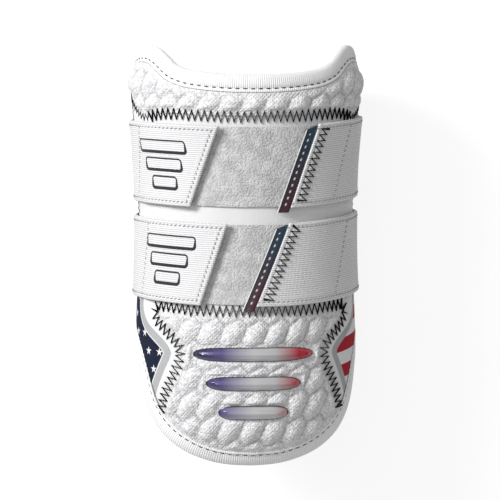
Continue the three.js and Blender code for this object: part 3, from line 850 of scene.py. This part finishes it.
def thread_finish(name, colour):
    finish = Finish(name)
    x, y, z = finish.place()
    twist = (x + y * 1.3 + z).wave(0.7)
    tone = finish.mix(twist * 0.5, colour, [min(1, c * 1.5 + 0.01) for c in colour])
    return finish.close(tone, 0.7, twist, 0.12, Specular_IOR_Level=0.1)


class Recipe(Graph):
    """A geometry tree with named inputs, run on a guide line and kept as a plain mesh."""

    def __init__(self, name, lengths):
        tree = bpy.data.node_groups.new(name, "GeometryNodeTree")
        super().__init__(tree)
        floats = [(label, "Float") for label in lengths]
        sockets = [("Guide", "Geometry"), *floats, ("Material", "Material")]
        self.names = {}
        for label, kind in sockets:
            made = tree.interface.new_socket(label, in_out="INPUT", socket_type=f"NodeSocket{kind}")
            self.names[label] = made.identifier
        tree.interface.new_socket("Thread", in_out="OUTPUT", socket_type="NodeSocketGeometry")
        entry = tree.nodes.new("NodeGroupInput")
        self.inputs = {out.name: Socket(self, out) for out in entry.outputs if out.name}

    def stepped(self, length):
        """The guide as a curve with even steps."""
        line = self.node("GeometryNodeMeshToCurve", None, [self.inputs["Guide"]])
        inputs = {"Curve": line, "Length": length}
        return self.node("GeometryNodeResampleCurve", {"mode": "LENGTH"}, inputs)

    def across(self, factor):
        """The guide's sideways direction, times a factor."""
        named = self.node("GeometryNodeInputNamedAttribute", {"data_type": "FLOAT_VECTOR"}, ["across"])
        return self.node("ShaderNodeVectorMath", {"operation": "SCALE"}, {"Vector": named, "Scale": factor})

    def close(self, geometry):
        """Ends the tree in a plain mesh with the given material."""
        plain = self.node("GeometryNodeRealizeInstances", None, [geometry])
        inputs = {"Geometry": plain, "Material": self.inputs["Material"]}
        self.node("NodeGroupOutput", None, [self.node("GeometryNodeSetMaterial", None, inputs)])
        return self

    def run(self, name, guides, values):
        """Runs the recipe on guide lines given as (points, across) and returns a plain mesh object."""
        points = np.vstack([g[0] for g in guides])
        across = np.vstack([g[1] for g in guides])
        links, first = [], 0
        for line, _ in guides:
            links += [(first + k, first + k + 1) for k in range(len(line) - 1)]
            first += len(line)
        made = bpy.data.meshes.new(name)
        made.from_pydata(((points + SEAT) * MM).tolist(), links, [])
        kept = made.attributes.new("across", "FLOAT_VECTOR", "POINT")
        kept.data.foreach_set("vector", across.astype(np.float32).ravel())
        piece = put(name, made)
        step = piece.modifiers.new("Thread", "NODES")
        step.node_group = self.tree
        for label, value in values.items():
            step[self.names[label]] = value
        seen = piece.evaluated_get(bpy.context.evaluated_depsgraph_get())
        result = bpy.data.meshes.new_from_object(seen)
        piece.modifiers.remove(step)
        piece.data = result
        result.name = name
        bpy.data.meshes.remove(made)
        result.shade_smooth()
        return piece


def zigzag_recipe():
    """A thread that swings from side to side of a guide line."""
    recipe = Recipe("Zigzag seam", ["Pitch", "Width", "Thread"])
    given = recipe.inputs
    stepped = recipe.stepped(given["Pitch"] * 0.5)
    side = recipe.node("GeometryNodeInputIndex").maths("MODULO", 2) - 0.5
    limits = {2: 0.86, 3: 1.14, "Seed": 5}
    swing = recipe.node("FunctionNodeRandomValue", {"data_type": "FLOAT"}, limits, 1)
    moved = {"Geometry": stepped, "Offset": recipe.across(side * given["Width"] * swing)}
    swung = recipe.node("GeometryNodeSetPosition", None, moved)
    circle = {"Resolution": 6, "Radius": given["Thread"]}
    section = recipe.node("GeometryNodeCurvePrimitiveCircle", None, circle)
    swept = {"Curve": swung, "Profile Curve": section, "Fill Caps": True}
    return recipe.close(recipe.node("GeometryNodeCurveToMesh", None, swept))


def stitch_recipe():
    """Short stitches end to end along a guide line, turned a little across it."""
    recipe = Recipe("Running stitches", ["Pitch", "Length", "Thread", "Slant"])
    given = recipe.inputs
    stepped = recipe.stepped(given["Pitch"])
    ball = recipe.node("GeometryNodeMeshUVSphere", None, {"Segments": 6, "Rings": 5, "Radius": 1.0})
    tangent = recipe.node("GeometryNodeInputTangent")
    lean = recipe.across(given["Slant"])
    heading = recipe.node("ShaderNodeVectorMath", {"operation": "ADD"}, [tangent, lean])
    turned = recipe.node("FunctionNodeAlignRotationToVector", {"axis": "X"}, {"Vector": heading})
    radii = [given["Length"] * 0.5, given["Thread"], given["Thread"]]
    size = recipe.node("ShaderNodeCombineXYZ", None, radii)
    where = {"Points": stepped, "Instance": ball, "Rotation": turned, "Scale": size}
    return recipe.close(recipe.node("GeometryNodeInstanceOnPoints", None, where))


def guide(place, height):
    """A guide line over the covers, with its sideways direction."""
    points = over(place, height)
    return points, unit(np.cross(np.gradient(points, axis=0), tangents(place)[2]))


# Straps

SIDE_ROWS = 90


def strap_middle(strap, wrap):
    """Middle line of a strap, which climbs towards both sides."""
    right = RIGHT_CLIMB * smoothstep(wrap, 10, 85)
    left = LEFT_CLIMB * smoothstep(-wrap, 0, 80)
    return strap["along"] * HALF_LENGTH + np.where(wrap > 0, right, left)


def across_strap(strap, wrap, share, width=STRAP_WIDTH):
    """Places at shares of a strap's width, or of another width on its middle line."""
    return paired(wrap, strap_middle(strap, wrap) + (share - 0.5) * width)


def strap_height(strap, wrap):
    """A strap's inner face lies over its loop strip in front and over the tape's hem at the sides."""
    start = strap["loop_end"] + LOOP_CLEAR
    return LOOP_TOP + (HEM_TOP - LOOP_TOP) * smoothstep(np.abs(wrap), start, start + LOOP_FADE) + GAP


def lerp(a, b, t):
    return a + (b - a) * t


def strap_rows(strap, across, lifts):
    """Points of a strap at several lifts over its inner face, from its sewn end round the back to its tab.

    across holds places over the strap's width from 0 to 1.
    """
    v = across[None, :]
    side = 1 - np.cos(np.linspace(0, math.pi / 2, SIDE_ROWS))[:, None]
    turns = np.linspace(0, 1, 15)[1:]
    back = np.linspace(0, 1, 24)[1:-1]
    sewn, tab = lerp(*strap["sewn"], v), lerp(*strap["tab"], v)
    rows = []

    def on_side(wrap, lift):
        from_tab = np.radians(tab - wrap) * HALF_WIDTH
        bend = np.where(wrap < 0, TAB_LIFT * (1 - smoothstep(from_tab, 0, TAB_BEND)), 0)
        return over(across_strap(strap, wrap, v), strap_height(strap, wrap) + lift + bend)

    def turning(sign, share, lift):
        place = across_strap(strap, np.full(v.shape, sign * WRAP), v)
        centre = over(place, -EDGE_THICK / 2)
        centre[..., 2] = TURN_LEVEL
        normal = tangents(place)[2]
        start = np.arctan2(normal[..., 2], sign * normal[..., 0])
        angle = lerp(start, -math.pi / 2, share)
        radius = EDGE_THICK / 2 + strap_height(strap, WRAP) + lift
        arm = np.stack([sign * np.cos(angle), 0 * angle, np.sin(angle)], axis=-1)
        return centre + arm * radius

    for lift in lifts:
        right = on_side(lerp(sewn, WRAP, side), lift)
        down = np.vstack([turning(1, t, lift) for t in turns])
        up = np.vstack([turning(-1, t, lift) for t in turns[::-1]])
        chord = down[-1] + (up[0] - down[-1]) * back[:, None, None]
        left = on_side(lerp(tab, -WRAP, side)[::-1], lift)
        rows.append(np.concatenate([right, down, chord, up, left]))
    return rows


def strap_cloth(strap, face):
    """Cloth coordinates of a strap's outer face, from the middle of the tab's print, in metres."""
    steps = np.linalg.norm(np.diff(face, axis=0), axis=-1)
    run = np.concatenate([np.zeros((1, face.shape[1])), np.cumsum(steps, axis=0)])
    run = run - run[SIDE_ROWS]
    wrap, y = strap["print"]
    target = over(np.array([wrap, y], float), strap_height(strap, wrap) + STRAP_THICK)
    away = np.linalg.norm(face - target, axis=-1)
    i, j = np.unravel_index(np.argmin(away), away.shape)
    return run - run[i, j], y - strap_middle(strap, wrap)


# Properties and operators


def size(name, description, value, **limits):
    return FloatProperty(name=name, description=description, default=value, **limits)


class GuardSizes(bpy.types.PropertyGroup):
    quilt_relief: size("Quilt relief", "Height of the quilted cells, mm", 2.2, min=0, max=3)
    quilt_pitch: size("Quilt pitch", "Distance between neighbouring cells, mm", 13.1, min=6, max=25)
    thread: size("Thread", "Radius of the zigzag thread", 0.00054, unit="LENGTH", precision=5)
    zigzag_pitch: size("Zigzag pitch", "Length of one zigzag of a seam", 0.0035, unit="LENGTH", precision=4)
    zigzag_width: size("Zigzag width", "Width of a seam's zigzag", 0.0057, unit="LENGTH", precision=4)
    star_slant: size("Star slant", "Turn of the rows of stars, degrees", 0)
    stripe_slant: size("Stripe slant", "Turn of the stripes, degrees", 7)
    stripe_start: size("Stripe start", "How far the stripes are moved along the side, mm", -1.45)
    distance: size("Camera distance", "From the guard to the camera", 1.4, unit="LENGTH")
    samples_across: IntProperty(
        name="Quilt detail", description="Grid steps across the quilted tongue", default=132, min=20, max=200
    )


def colour(name, description, value):
    limits = {"subtype": "COLOR", "min": 0, "max": 1}
    return FloatVectorProperty(name=name, description=description, default=value, **limits)


class GuardColours(bpy.types.PropertyGroup):
    white: colour("White", "White of the covers, tape and straps", (0.8, 0.8, 0.805))
    shade: colour("Shade", "Colour towards which the white fabrics dip", (0.4, 0.4, 0.415))
    lining: colour("Lining", "Lining of the pad", (0.55, 0.55, 0.56))
    pile: colour("Pile", "Loop strips", (0.67, 0.67, 0.672))
    navy: colour("Navy", "Ground of the left side's print", (0.004, 0.009, 0.03))
    red: colour("Red", "Stripes of the right side's print", (0.42, 0.008, 0.024))
    grey: colour("Grey", "Band round the prints", (0.46, 0.465, 0.47))
    # Also the colour of the painted hem shadow on the prints and the painted shade on the labels.
    ink: colour("Ink", "Outlines on the tabs", (0.008, 0.009, 0.015))
    thread: colour("Thread", "Zigzag thread", (0.003, 0.003, 0.008))
    label_high: colour("Label top", "Upper end of the labels", (0.004, 0.036, 0.066))
    label_low: colour("Label foot", "Lower end of the labels", (0.05, 0.004, 0.012))
    rib_left: colour("Rib left", "Left end of the ribs", (0.008, 0.01, 0.045))
    rib_left_soft: colour("Rib left fade", "Fade after the ribs' left end", (0.085, 0.065, 0.2))
    silver: colour("Silver", "Middle of the ribs", (0.52, 0.52, 0.53))
    rib_right: colour("Rib right", "Right end of the ribs", (0.42, 0.006, 0.026))


class Maker:
    """Runs an operator's make method with the guard's sizes and colours."""

    def execute(self, context):
        self.make(context.scene.elbow_sizes, context.scene.elbow_colours)
        return {"FINISHED"}


class ELBOW_OT_core(Maker, bpy.types.Operator):
    """Make the lined pad core"""

    bl_idname = "elbow_guard.core"
    bl_label = "Pad core"

    def make(self, sizes, colours):
        picks = np.linspace(0, ACROSS, 141).round().astype(int)
        rise = np.linspace(0, 1, 67)[None, :, None]
        place = tongue_row[picks][:, None] * (1 - rise) + collar_row[picks][:, None] * rise
        high = over(place, -0.15 * edge_round(place, 3))
        core = slab("lined_pad", over(place, -core_thickness(place)), high, flat_pattern(place))
        finish_piece(core, lining_finish(colours), ["pad_core"])


class ELBOW_OT_binding(Maker, bpy.types.Operator):
    """Make the tape folded over the edge"""

    bl_idname = "elbow_guard.binding"
    bl_label = "Edge binding"

    def make(self, sizes, colours):
        outer = EDGE_THICK / 2 + TAPE_TOP
        inner = EDGE_THICK / 2 + TAPE_GAP
        swell = HEM_SWELL * smoothstep(-edge[:, 1], 20, 80)
        rows = []
        travelled = []
        for beyond, height, share in HEM_BEAD:
            rows.append(over(inset(TAPE_LEGS + beyond), height + share * swell))
            travelled.append(TONGUE_LEG + beyond)
        for away, height in ((2.4, TAPE_TOP + 0.25), (1.2, TAPE_TOP + 0.2)):
            rows.append(over(inset(away), height))
            travelled.append(away)
        normal = tangents(edge)[2]
        middle = skin(edge) - normal * EDGE_THICK / 2

        def round_fold(radius, turn):
            return middle + radius * (normal * math.cos(turn) - EDGE_IN * math.sin(turn))

        for turn in np.radians(np.arange(0, 181, 18)):
            rows.append(round_fold(outer, turn))
            travelled.append(-outer * turn)
        under_start = -outer * math.pi
        for away, below in ((2, TAPE_TOP), (4, TAPE_TOP), (TONGUE_LEG, TAPE_TOP), (TONGUE_LEG, TAPE_GAP)):
            line = inset(away)
            rows.append(over(line, -core_thickness(line) - below))
            travelled.append(under_start - away)
        for turn in np.radians(np.arange(180, -1, -45)):
            rows.append(round_fold(inner, turn))
            travelled.append(under_start - TONGUE_LEG - 2)
        points = np.stack(rows, axis=1)
        count, ring = points.shape[:2]
        k, m = np.meshgrid(np.arange(count), np.arange(ring), indexing="ij")
        after, beside = (k + 1) % count, (m + 1) % ring
        corners = [k * ring + m, k * ring + beside, after * ring + beside, after * ring + m]
        faces = np.stack(corners, axis=-1).reshape(-1, 4)
        uv = paired(run_lengths(points[:, 4])[:, None], np.array(travelled)) * MM
        binding = mesh_piece("ribbed_binding", points.reshape(-1, 3), faces, uv.reshape(-1, 2))
        finish_piece(binding, tape_finish(colours), ["edge_binding"])
        outside = np.vstack([points, points[:1]])[:, : travelled.index(under_start - TONGUE_LEG) + 1]


class ELBOW_OT_quilts(Maker, bpy.types.Operator):
    """Make the quilted covers of the collar and the tongue"""

    bl_idname = "elbow_guard.quilts"
    bl_label = "Quilted covers"

    def make(self, sizes, colours):
        material = quilt_finish(colours)
        seam = shifted(collar_seam, 0, SEAM_SHUT)
        tip = seam[-1, 0]
        left, right = crossing(collar_hem, 0, -tip), crossing(collar_hem, 0, tip)
        rim = np.vstack([left[0], collar_hem[left[1] : right[1]], right[0]])
        u = np.linspace(0, 1, 281)
        v = np.linspace(0, 1, 43)[None, :, None]
        place = travel(both_sides(seam), u)[:, None] * (1 - v) + travel(rim, u)[:, None] * v
        self.quilt("collar_quilting", place, [place[:, 0]], sizes, material, "collar_quilt", 1)

        side = shifted(waist_seam, -SEAM_SHUT, 0)
        side[-1, 1] -= SEAM_SHUT
        foot, after = crossing(tongue_hem, 0, side[0, 0])
        side = np.vstack([foot, side])
        start, first = crossing(tongue_hem, 0, -foot[0])
        rim = np.vstack([start, tongue_hem[first:after], foot])
        head = np.vstack([mirror(side[-1]), side[-1]])
        across = sizes.samples_across
        place = between(rim, head, mirror(side), side, across, int(across * 0.86))
        sewn = [place[0], place[-1], place[:, -1]]
        self.quilt("tongue_quilting", place, sewn, sizes, material, "tongue_quilt", clear_of_ribs(place))

    def quilt(self, name, place, sewn, sizes, material, node, clear):
        """One padded cover, flat along its rim, along the runs sewn down and where clear is 0."""
        away = from_rim(place)
        from_seam = distance_to_run(place, np.concatenate(sewn)[::2])
        fade = smoothstep(away, *HEM_FADE) * smoothstep(from_seam, *SEAM_FADE) * clear
        relief = quilt_height(place, sizes.quilt_relief, sizes.quilt_pitch)
        # The puff attribute sets the painted shade in the quilting's creases: low in a crease, FLAT_PUFF
        # where the quilting lies flat.
        puff = relief / sizes.quilt_relief * fade + (1 - fade) * FLAT_PUFF
        lip = -0.45 * (1 - quarter_round(away, COVER_ROUND))
        high = over(place, COVER_TOP + lip + relief * fade + 0.12 * ripple(place, 17, 1.3))
        quilt = slab(name, over(place, GAP), high, flat_pattern(place), {"puff": puff})
        finish_piece(quilt, material, [node])


class ELBOW_OT_cover(Maker, bpy.types.Operator):
    """Make the smooth cover between the two quilted ones"""

    bl_idname = "elbow_guard.cover"
    bl_label = "Middle cover"

    def make(self, sizes, colours):
        side = shifted(side_seam, -SEAM_SHUT, 0)
        side[0, 1] += SEAM_SHUT
        seam = shifted(collar_seam, 0, -SEAM_SHUT)
        head, after = crossing(seam, 0, side[-1, 0])
        side[-1] = head
        top = both_sides(np.vstack([seam[:after], head]))
        foot = np.vstack([mirror(side[0]), side[0]])
        place = between(foot, top, mirror(side), side, 110, 70)
        rim_drop = 0.4 * (1 - edge_round(place, COVER_ROUND))
        high = over(place, COVER_TOP + 0.15 * ripple(place, 15, 0.2) - rim_drop)
        cover = slab("smooth_cover", over(place, GAP), high, flat_pattern(place))
        finish_piece(cover, cover_finish(colours), ["middle_cover"])


class ELBOW_OT_sides(Maker, bpy.types.Operator):
    """Make the printed side panels"""

    bl_idname = "elbow_guard.sides"
    bl_label = "Printed sides"

    def make(self, sizes, colours):
        front = shifted(np.vstack([waist_seam, side_seam[1:]]), SEAM_SHUT, 0)
        collar = shifted(collar_seam, 0, -SEAM_SHUT)
        foot, _ = crossing(right_hem, 0, front[0, 0])
        heel, first = crossing(right_hem, 0, front[0, 0] + 1)
        crown, beyond = crossing(collar, 0, front[-1, 0])
        shoulder, last = crossing(right_hem, 1, collar[-1, 1])
        front[-1] = crown
        front = np.vstack([foot, front])
        upper = np.vstack([crown, collar[beyond:], shoulder])
        rear = np.vstack([heel, right_hem[first:last], shoulder])
        place = between(np.vstack([foot, heel]), upper, front, rear, 44, 150)
        border = distance_to_run(place, np.vstack([foot, band_line]))
        # Distance from the tape's hem, which places the painted hem shadow of the prints.
        to_hem = distance_to_run(place, rear[::2])
        for name, node, material, sign in (
            ("striped_side", "right_side_panel", stripes_finish(colours, sizes), 1),
            ("starred_side", "left_side_panel", stars_finish(colours, sizes), -1),
        ):
            sheet = place if sign > 0 else mirror(place)[::-1]
            away = {"border": border, "hem": to_hem}
            if sign < 0:
                away = {label: values[::-1] for label, values in away.items()}
            rim_drop = 0.4 * (1 - edge_round(sheet, COVER_ROUND))
            high = over(sheet, COVER_TOP - rim_drop + 0.1 * ripple(sheet, 16, 0.9))
            panel = slab(name, over(sheet, GAP), high, flat_pattern(sheet), away)
            finish_piece(panel, material, [node])


class ELBOW_OT_loops(Maker, bpy.types.Operator):
    """Make the brushed strips that the tabs fasten to"""

    bl_idname = "elbow_guard.loops"
    bl_label = "Loop strips"

    def make(self, sizes, colours):
        material = pile_finish(colours)
        for name, strap in STRAPS.items():
            wrap = np.linspace(-strap["loop_end"], strap["loop_end"], 141)[:, None]
            v = np.linspace(-0.5, 0.5, 57)[None]
            place = paired(wrap, strap_middle(strap, wrap) + v * LOOP_WIDTH)
            nap = 0.12 * ripple(place, 3.1, 0.5) + 0.12 * ripple(place, 7.3, 2.5)
            high = over(place, LOOP_TOP - 0.1 + nap - 0.45 * (1 - edge_round(place, 1.6)))
            strip = slab(f"{name}_pile_strip", over(place, COVER_TOP + GAP), high, flat_pattern(place))
            finish_piece(strip, material, [f"{name}_loop_strip"])


class ELBOW_OT_straps(Maker, bpy.types.Operator):
    """Make the elastic straps"""

    bl_idname = "elbow_guard.straps"
    bl_label = "Straps"

    def make(self, sizes, colours):
        material = webbing_finish(colours)
        across = (1 - np.cos(np.linspace(0, math.pi, 45))) / 2
        for name, strap in STRAPS.items():
            base, face = strap_rows(strap, across, (0, STRAP_THICK))
            run, print_level = strap_cloth(strap, face)
            width = (across - 0.5)[None] * STRAP_WIDTH
            from_end = np.minimum(run - run[0], run[-1] - run)
            rim = np.minimum(from_end, STRAP_WIDTH / 2 - np.abs(width))
            roll = np.where(run - run[0] < 2, 0.55, 1.1)
            full = np.maximum(quarter_round(rim, roll), 0.12)
            hem = 0.14 * smoothstep(5.4 - rim, 0, 0.7)
            groove = 0.28 * np.exp(-(((rim - 2.6) / 0.55) ** 2))
            wave = 0.1 * np.sin(run / 9 + width / 7)
            outward = unit(face - base)
            half = STRAP_THICK / 2
            middle = base + outward * half
            high = middle + outward * (half * full + (hem - groove + wave * 0.6 - 0.1) * full)[..., None]
            low = middle - outward * (half * full)[..., None]
            band = slab(f"{name}_elastic_strap", low, high, paired(run, width - print_level) * MM)
            finish_piece(band, material, [f"{name}_strap"])


class ELBOW_OT_labels(Maker, bpy.types.Operator):
    """Make the satin labels beside the sewn ends"""

    bl_idname = "elbow_guard.labels"
    bl_label = "Labels"

    def make(self, sizes, colours):
        material = satin_finish(colours)
        step, seam = math.degrees(LABEL_WIDTH / HALF_WIDTH), math.degrees(2 * GAP / HALF_WIDTH)
        for name, strap in STRAPS.items():
            u, v = np.linspace(0, 1, 19)[:, None], np.linspace(0, 1, 81)[None]
            end = lerp(*strap["sewn"], v) - seam
            wrap = end - step + step * u
            place = across_strap(strap, wrap, v, LABEL_LENGTH) - (0, LABEL_DROP)
            place = place - paired(0, LABEL_SLANT * (1 - u) * v)
            bulge = np.sqrt(1 - (2 * u - 1) ** 2 * 0.92)
            low = over(place, LOOP_TOP + GAP + 0.2 * (1 - bulge))
            lift = LOOP_TOP + GAP + LABEL_THICK + 0.9 * smoothstep(u, 0.2, 1.0)
            high = over(place, lift - 0.55 * (1 - bulge))
            cloth = paired(u * LABEL_WIDTH, (v - 0.5) * LABEL_LENGTH) * MM
            ribbon = slab(f"{name}_satin_label", low, high, cloth)
            finish_piece(ribbon, material, [f"{name}_label"])


class ELBOW_OT_ribs(Maker, bpy.types.Operator):
    """Make the raised ribs on the tongue"""

    bl_idname = "elbow_guard.ribs"
    bl_label = "Ribs"

    def make(self, sizes, colours):
        material = rib_finish(colours)
        for name, (along, reach_share) in RIBS.items():
            reach = reach_share * HALF_WIDTH
            u = np.sin(np.linspace(-math.pi / 2, math.pi / 2, 121))[:, None]
            v = np.linspace(-1, 1, 33)[None]
            middle = along * HALF_LENGTH
            taper = np.sqrt(1 - 0.97 * np.abs(u) ** 5)
            half = skin(np.array([90, middle]))[0]
            place = paired(np.degrees(np.arcsin(u * reach / half)), middle + v * taper * RIB_WIDTH / 2)
            flank = np.minimum((1 - np.abs(v)) * taper * RIB_WIDTH / 2, (1 - np.abs(u)) * reach * 0.55)
            crown = smoothstep(flank, -0.4, 2.3) * 0.78 + smoothstep(flank, 2.2, 3.6) * 0.22
            low = over(place, COVER_TOP + 0.1)
            high = over(place, COVER_TOP + 0.35 + RIB_HEIGHT * crown)
            rim = {"rim": flank / (RIB_WIDTH / 2)}
            rib = slab(f"{name}_moulded_rib", low, high, flat_pattern(place), rim)
            finish_piece(rib, material, [f"{name}_rib"])


class ELBOW_OT_seams(Maker, bpy.types.Operator):
    """Sew the dark zigzag seams"""

    bl_idname = "elbow_guard.seams"
    bl_label = "Zigzag seams"

    def make(self, sizes, colours):
        material = thread_finish("Navy zigzag thread", list(colours.thread))
        recipe = zigzag_recipe()
        across = np.linspace(-57, 57, 200)
        tongue = paired(across, tongue_seam_y + SEAM_RISE * smoothstep(np.abs(across), 28, 57))
        waist = np.vstack([waist_seam[6:132], SEAM_TURN])
        foot, _ = crossing(tongue_hem, 0, waist_seam[0, 0])
        waist = np.vstack([np.linspace(foot, waist[0], 12)[:-1], waist])
        round_tongue = np.vstack([mirror(waist), tongue, waist[::-1]])
        collar = both_sides(collar_seam)
        seams = [collar[np.abs(collar[:, 0]) <= 61], rounded(round_tongue, SEAM_ROUND)]
        guides = [guide(line, COVER_TOP + SEAM_LIFT) for line in seams]
        values = {"Pitch": sizes.zigzag_pitch, "Width": sizes.zigzag_width, "Thread": sizes.thread}
        values["Material"] = material
        finish_piece(recipe.run("cover_zigzag_seams", guides, values), None)

        rest = collar_seam[collar_seam[:, 0] > 62]
        lines = (side_seam[24:], mirror(side_seam[24:]), rest, mirror(rest))
        sides = [guide(line, COVER_TOP) for line in lines]
        values = {**SIDE_ZIGZAG, "Thread": sizes.thread * SIDE_THREAD, "Material": material}
        finish_piece(recipe.run("side_zigzag_seams", sides, values), None)

        for name, strap in STRAPS.items():
            v = np.linspace(0.07, 0.95, 60)
            wrap = lerp(*strap["sewn"], v) + math.degrees(ZIGZAG_FROM_END / HALF_WIDTH)
            lines = [guide(across_strap(strap, wrap, v), strap_height(strap, wrap) + STRAP_THICK + 0.1)]
            values = {**STRAP_ZIGZAG, "Thread": sizes.thread * STRAP_THREAD, "Material": material}
            finish_piece(recipe.run(f"{name}_strap_zigzag", lines, values), None)


class ELBOW_OT_stitches(Maker, bpy.types.Operator):
    """Sew the rows of stitches on the binding and the straps"""

    bl_idname = "elbow_guard.stitches"
    bl_label = "Stitch rows"

    def make(self, sizes, colours):
        recipe = stitch_recipe()
        dull = thread_finish("Dark binding thread", toned(colours.white, 0.08))
        line = inset(TAPE_LEGS - STITCH_FROM_HEM)
        points = over(line, TAPE_TOP - 0.25 + HEM_SWELL * smoothstep(-edge[:, 1], 20, 80))
        closed = np.vstack([points, points[:1]])
        hem = (closed, np.vstack([EDGE_IN, EDGE_IN[:1]]))
        sewn = recipe.run("binding_stitches", [hem], {**BINDING_STITCH, "Material": dull})
        finish_piece(sewn, None)

        pale = thread_finish("Grey strap thread", toned(colours.white, 0.42))
        across = np.array([0.0, 0.055, 0.12, 0.5, 0.88, 0.945, 1.0])
        for name, strap in STRAPS.items():
            face = strap_rows(strap, across, (STRAP_THICK - STITCH_SINK,))[0][3:-3]
            sideways = unit(face[:, 4] - face[:, 3])
            rows = [(face[:, 1], sideways), (face[:, 5], sideways)]
            tab = strap_rows(strap, np.linspace(0.07, 0.93, 40), (STRAP_THICK - STITCH_SINK,))[0]
            from_tab = run_lengths(tab[::-1, 20])[1:]
            for k in np.searchsorted(from_tab, TAB_STITCHES):
                rows.append((tab[-1 - k], unit(tab[-2 - k] - tab[-1 - k])))
            share = np.linspace(0.1, 0.92, 40)
            wrap = lerp(*TACK_WRAPS, share)
            rows.append(guide(across_strap(strap, wrap, share), strap_height(strap, wrap) + STRAP_THICK))
            sewn = recipe.run(f"{name}_strap_stitches", rows, {**STRAP_STITCH, "Material": pale})
            finish_piece(sewn, None)


class ELBOW_OT_stage(Maker, bpy.types.Operator):
    """Set the floor, the lights and the camera"""

    bl_idname = "elbow_guard.stage"
    bl_label = "Stage"

    def make(self, sizes, colours):
        scene = bpy.context.scene
        scene.view_settings.view_transform = "Standard"
        floor = bpy.data.meshes.new("floor")
        corners = [(FLOOR_HALF * x, FLOOR_HALF * y, 0) for x, y in ((-1, -1), (1, -1), (1, 1), (-1, 1))]
        floor.from_pydata(corners, [], [(0, 1, 2, 3)])
        ground = put("floor", floor)
        ground.location.z = -FLOOR_DROP
        ground.visible_diffuse = False
        finish = Finish("Pale floor")
        grain = finish.mix(finish.noise(300, 2), (0.3, 0.3, 0.3), (0.27, 0.27, 0.27))
        floor.materials.append(finish.close(grain, 0.9, Emission_Color=(1, 1, 1), Emission_Strength=0.8))

        scene.world = bpy.data.worlds.new("Studio")
        scene.world.use_nodes = True
        light = scene.world.node_tree.nodes["Background"].inputs
        light["Color"].default_value = (1, 1, 1, 1)
        light["Strength"].default_value = WORLD_STRENGTH
        for name, place, size, power in LAMPS:
            lamp = bpy.data.lights.new(name, "AREA")
            lamp.size, lamp.energy = size, power
            holder = put(name, lamp)
            holder.location = place
            aim = Vector(LAMP_TARGET) - Vector(place)
            holder.rotation_euler = aim.to_track_quat("-Z", "Y").to_euler()

        yaw, tilt = math.radians(CAMERA_YAW), math.radians(CAMERA_TILT)
        away = Vector((math.sin(yaw) * math.cos(tilt), math.sin(tilt), math.cos(yaw) * math.cos(tilt)))
        lens = bpy.data.cameras.new("camera")
        lens.sensor_width = SENSOR
        lens.lens = SENSOR * sizes.distance / PICTURE_WIDTH
        lens.clip_start, lens.clip_end = 0.05, 20
        eye = put("camera", lens)
        eye.location = Vector(CAMERA_TARGET) + away * sizes.distance
        across = (-away).cross(Vector((0, 1, 0))).normalized()
        up = across.cross(-away)
        eye.rotation_mode = "QUATERNION"
        eye.rotation_quaternion = Matrix((across, up, away)).transposed().to_quaternion()
        scene.camera = eye


OPERATORS = (
    ELBOW_OT_stage,
    ELBOW_OT_core,
    ELBOW_OT_binding,
    ELBOW_OT_quilts,
    ELBOW_OT_cover,
    ELBOW_OT_sides,
    ELBOW_OT_loops,
    ELBOW_OT_straps,
    ELBOW_OT_labels,
    ELBOW_OT_ribs,
    ELBOW_OT_seams,
    ELBOW_OT_stitches,
)


class ELBOW_PT_panel(bpy.types.Panel):
    """Lists the guard's sizes, colours and pieces"""

    bl_label = "Elbow Guard"
    bl_idname = "ELBOW_PT_panel"
    bl_space_type = "VIEW_3D"
    bl_region_type = "UI"
    bl_category = "Elbow Guard"

    def draw(self, context):
        for group in (context.scene.elbow_sizes, context.scene.elbow_colours):
            for name in group.__annotations__:
                self.layout.prop(group, name)
        for operator in OPERATORS:
            self.layout.operator(operator.bl_idname)


CLASSES = (GuardSizes, GuardColours, *OPERATORS, ELBOW_PT_panel)


def register():
    for made in CLASSES:
        bpy.utils.register_class(made)
    bpy.types.Scene.elbow_sizes = PointerProperty(type=GuardSizes)
    bpy.types.Scene.elbow_colours = PointerProperty(type=GuardColours)


def unregister():
    del bpy.types.Scene.elbow_colours
    del bpy.types.Scene.elbow_sizes
    for made in reversed(CLASSES):
        bpy.utils.unregister_class(made)


def main():
    register()
    for operator in OPERATORS:
        group, name = operator.bl_idname.split(".")
        getattr(getattr(bpy.ops, group), name)()


if __name__ == "__main__":
    main()
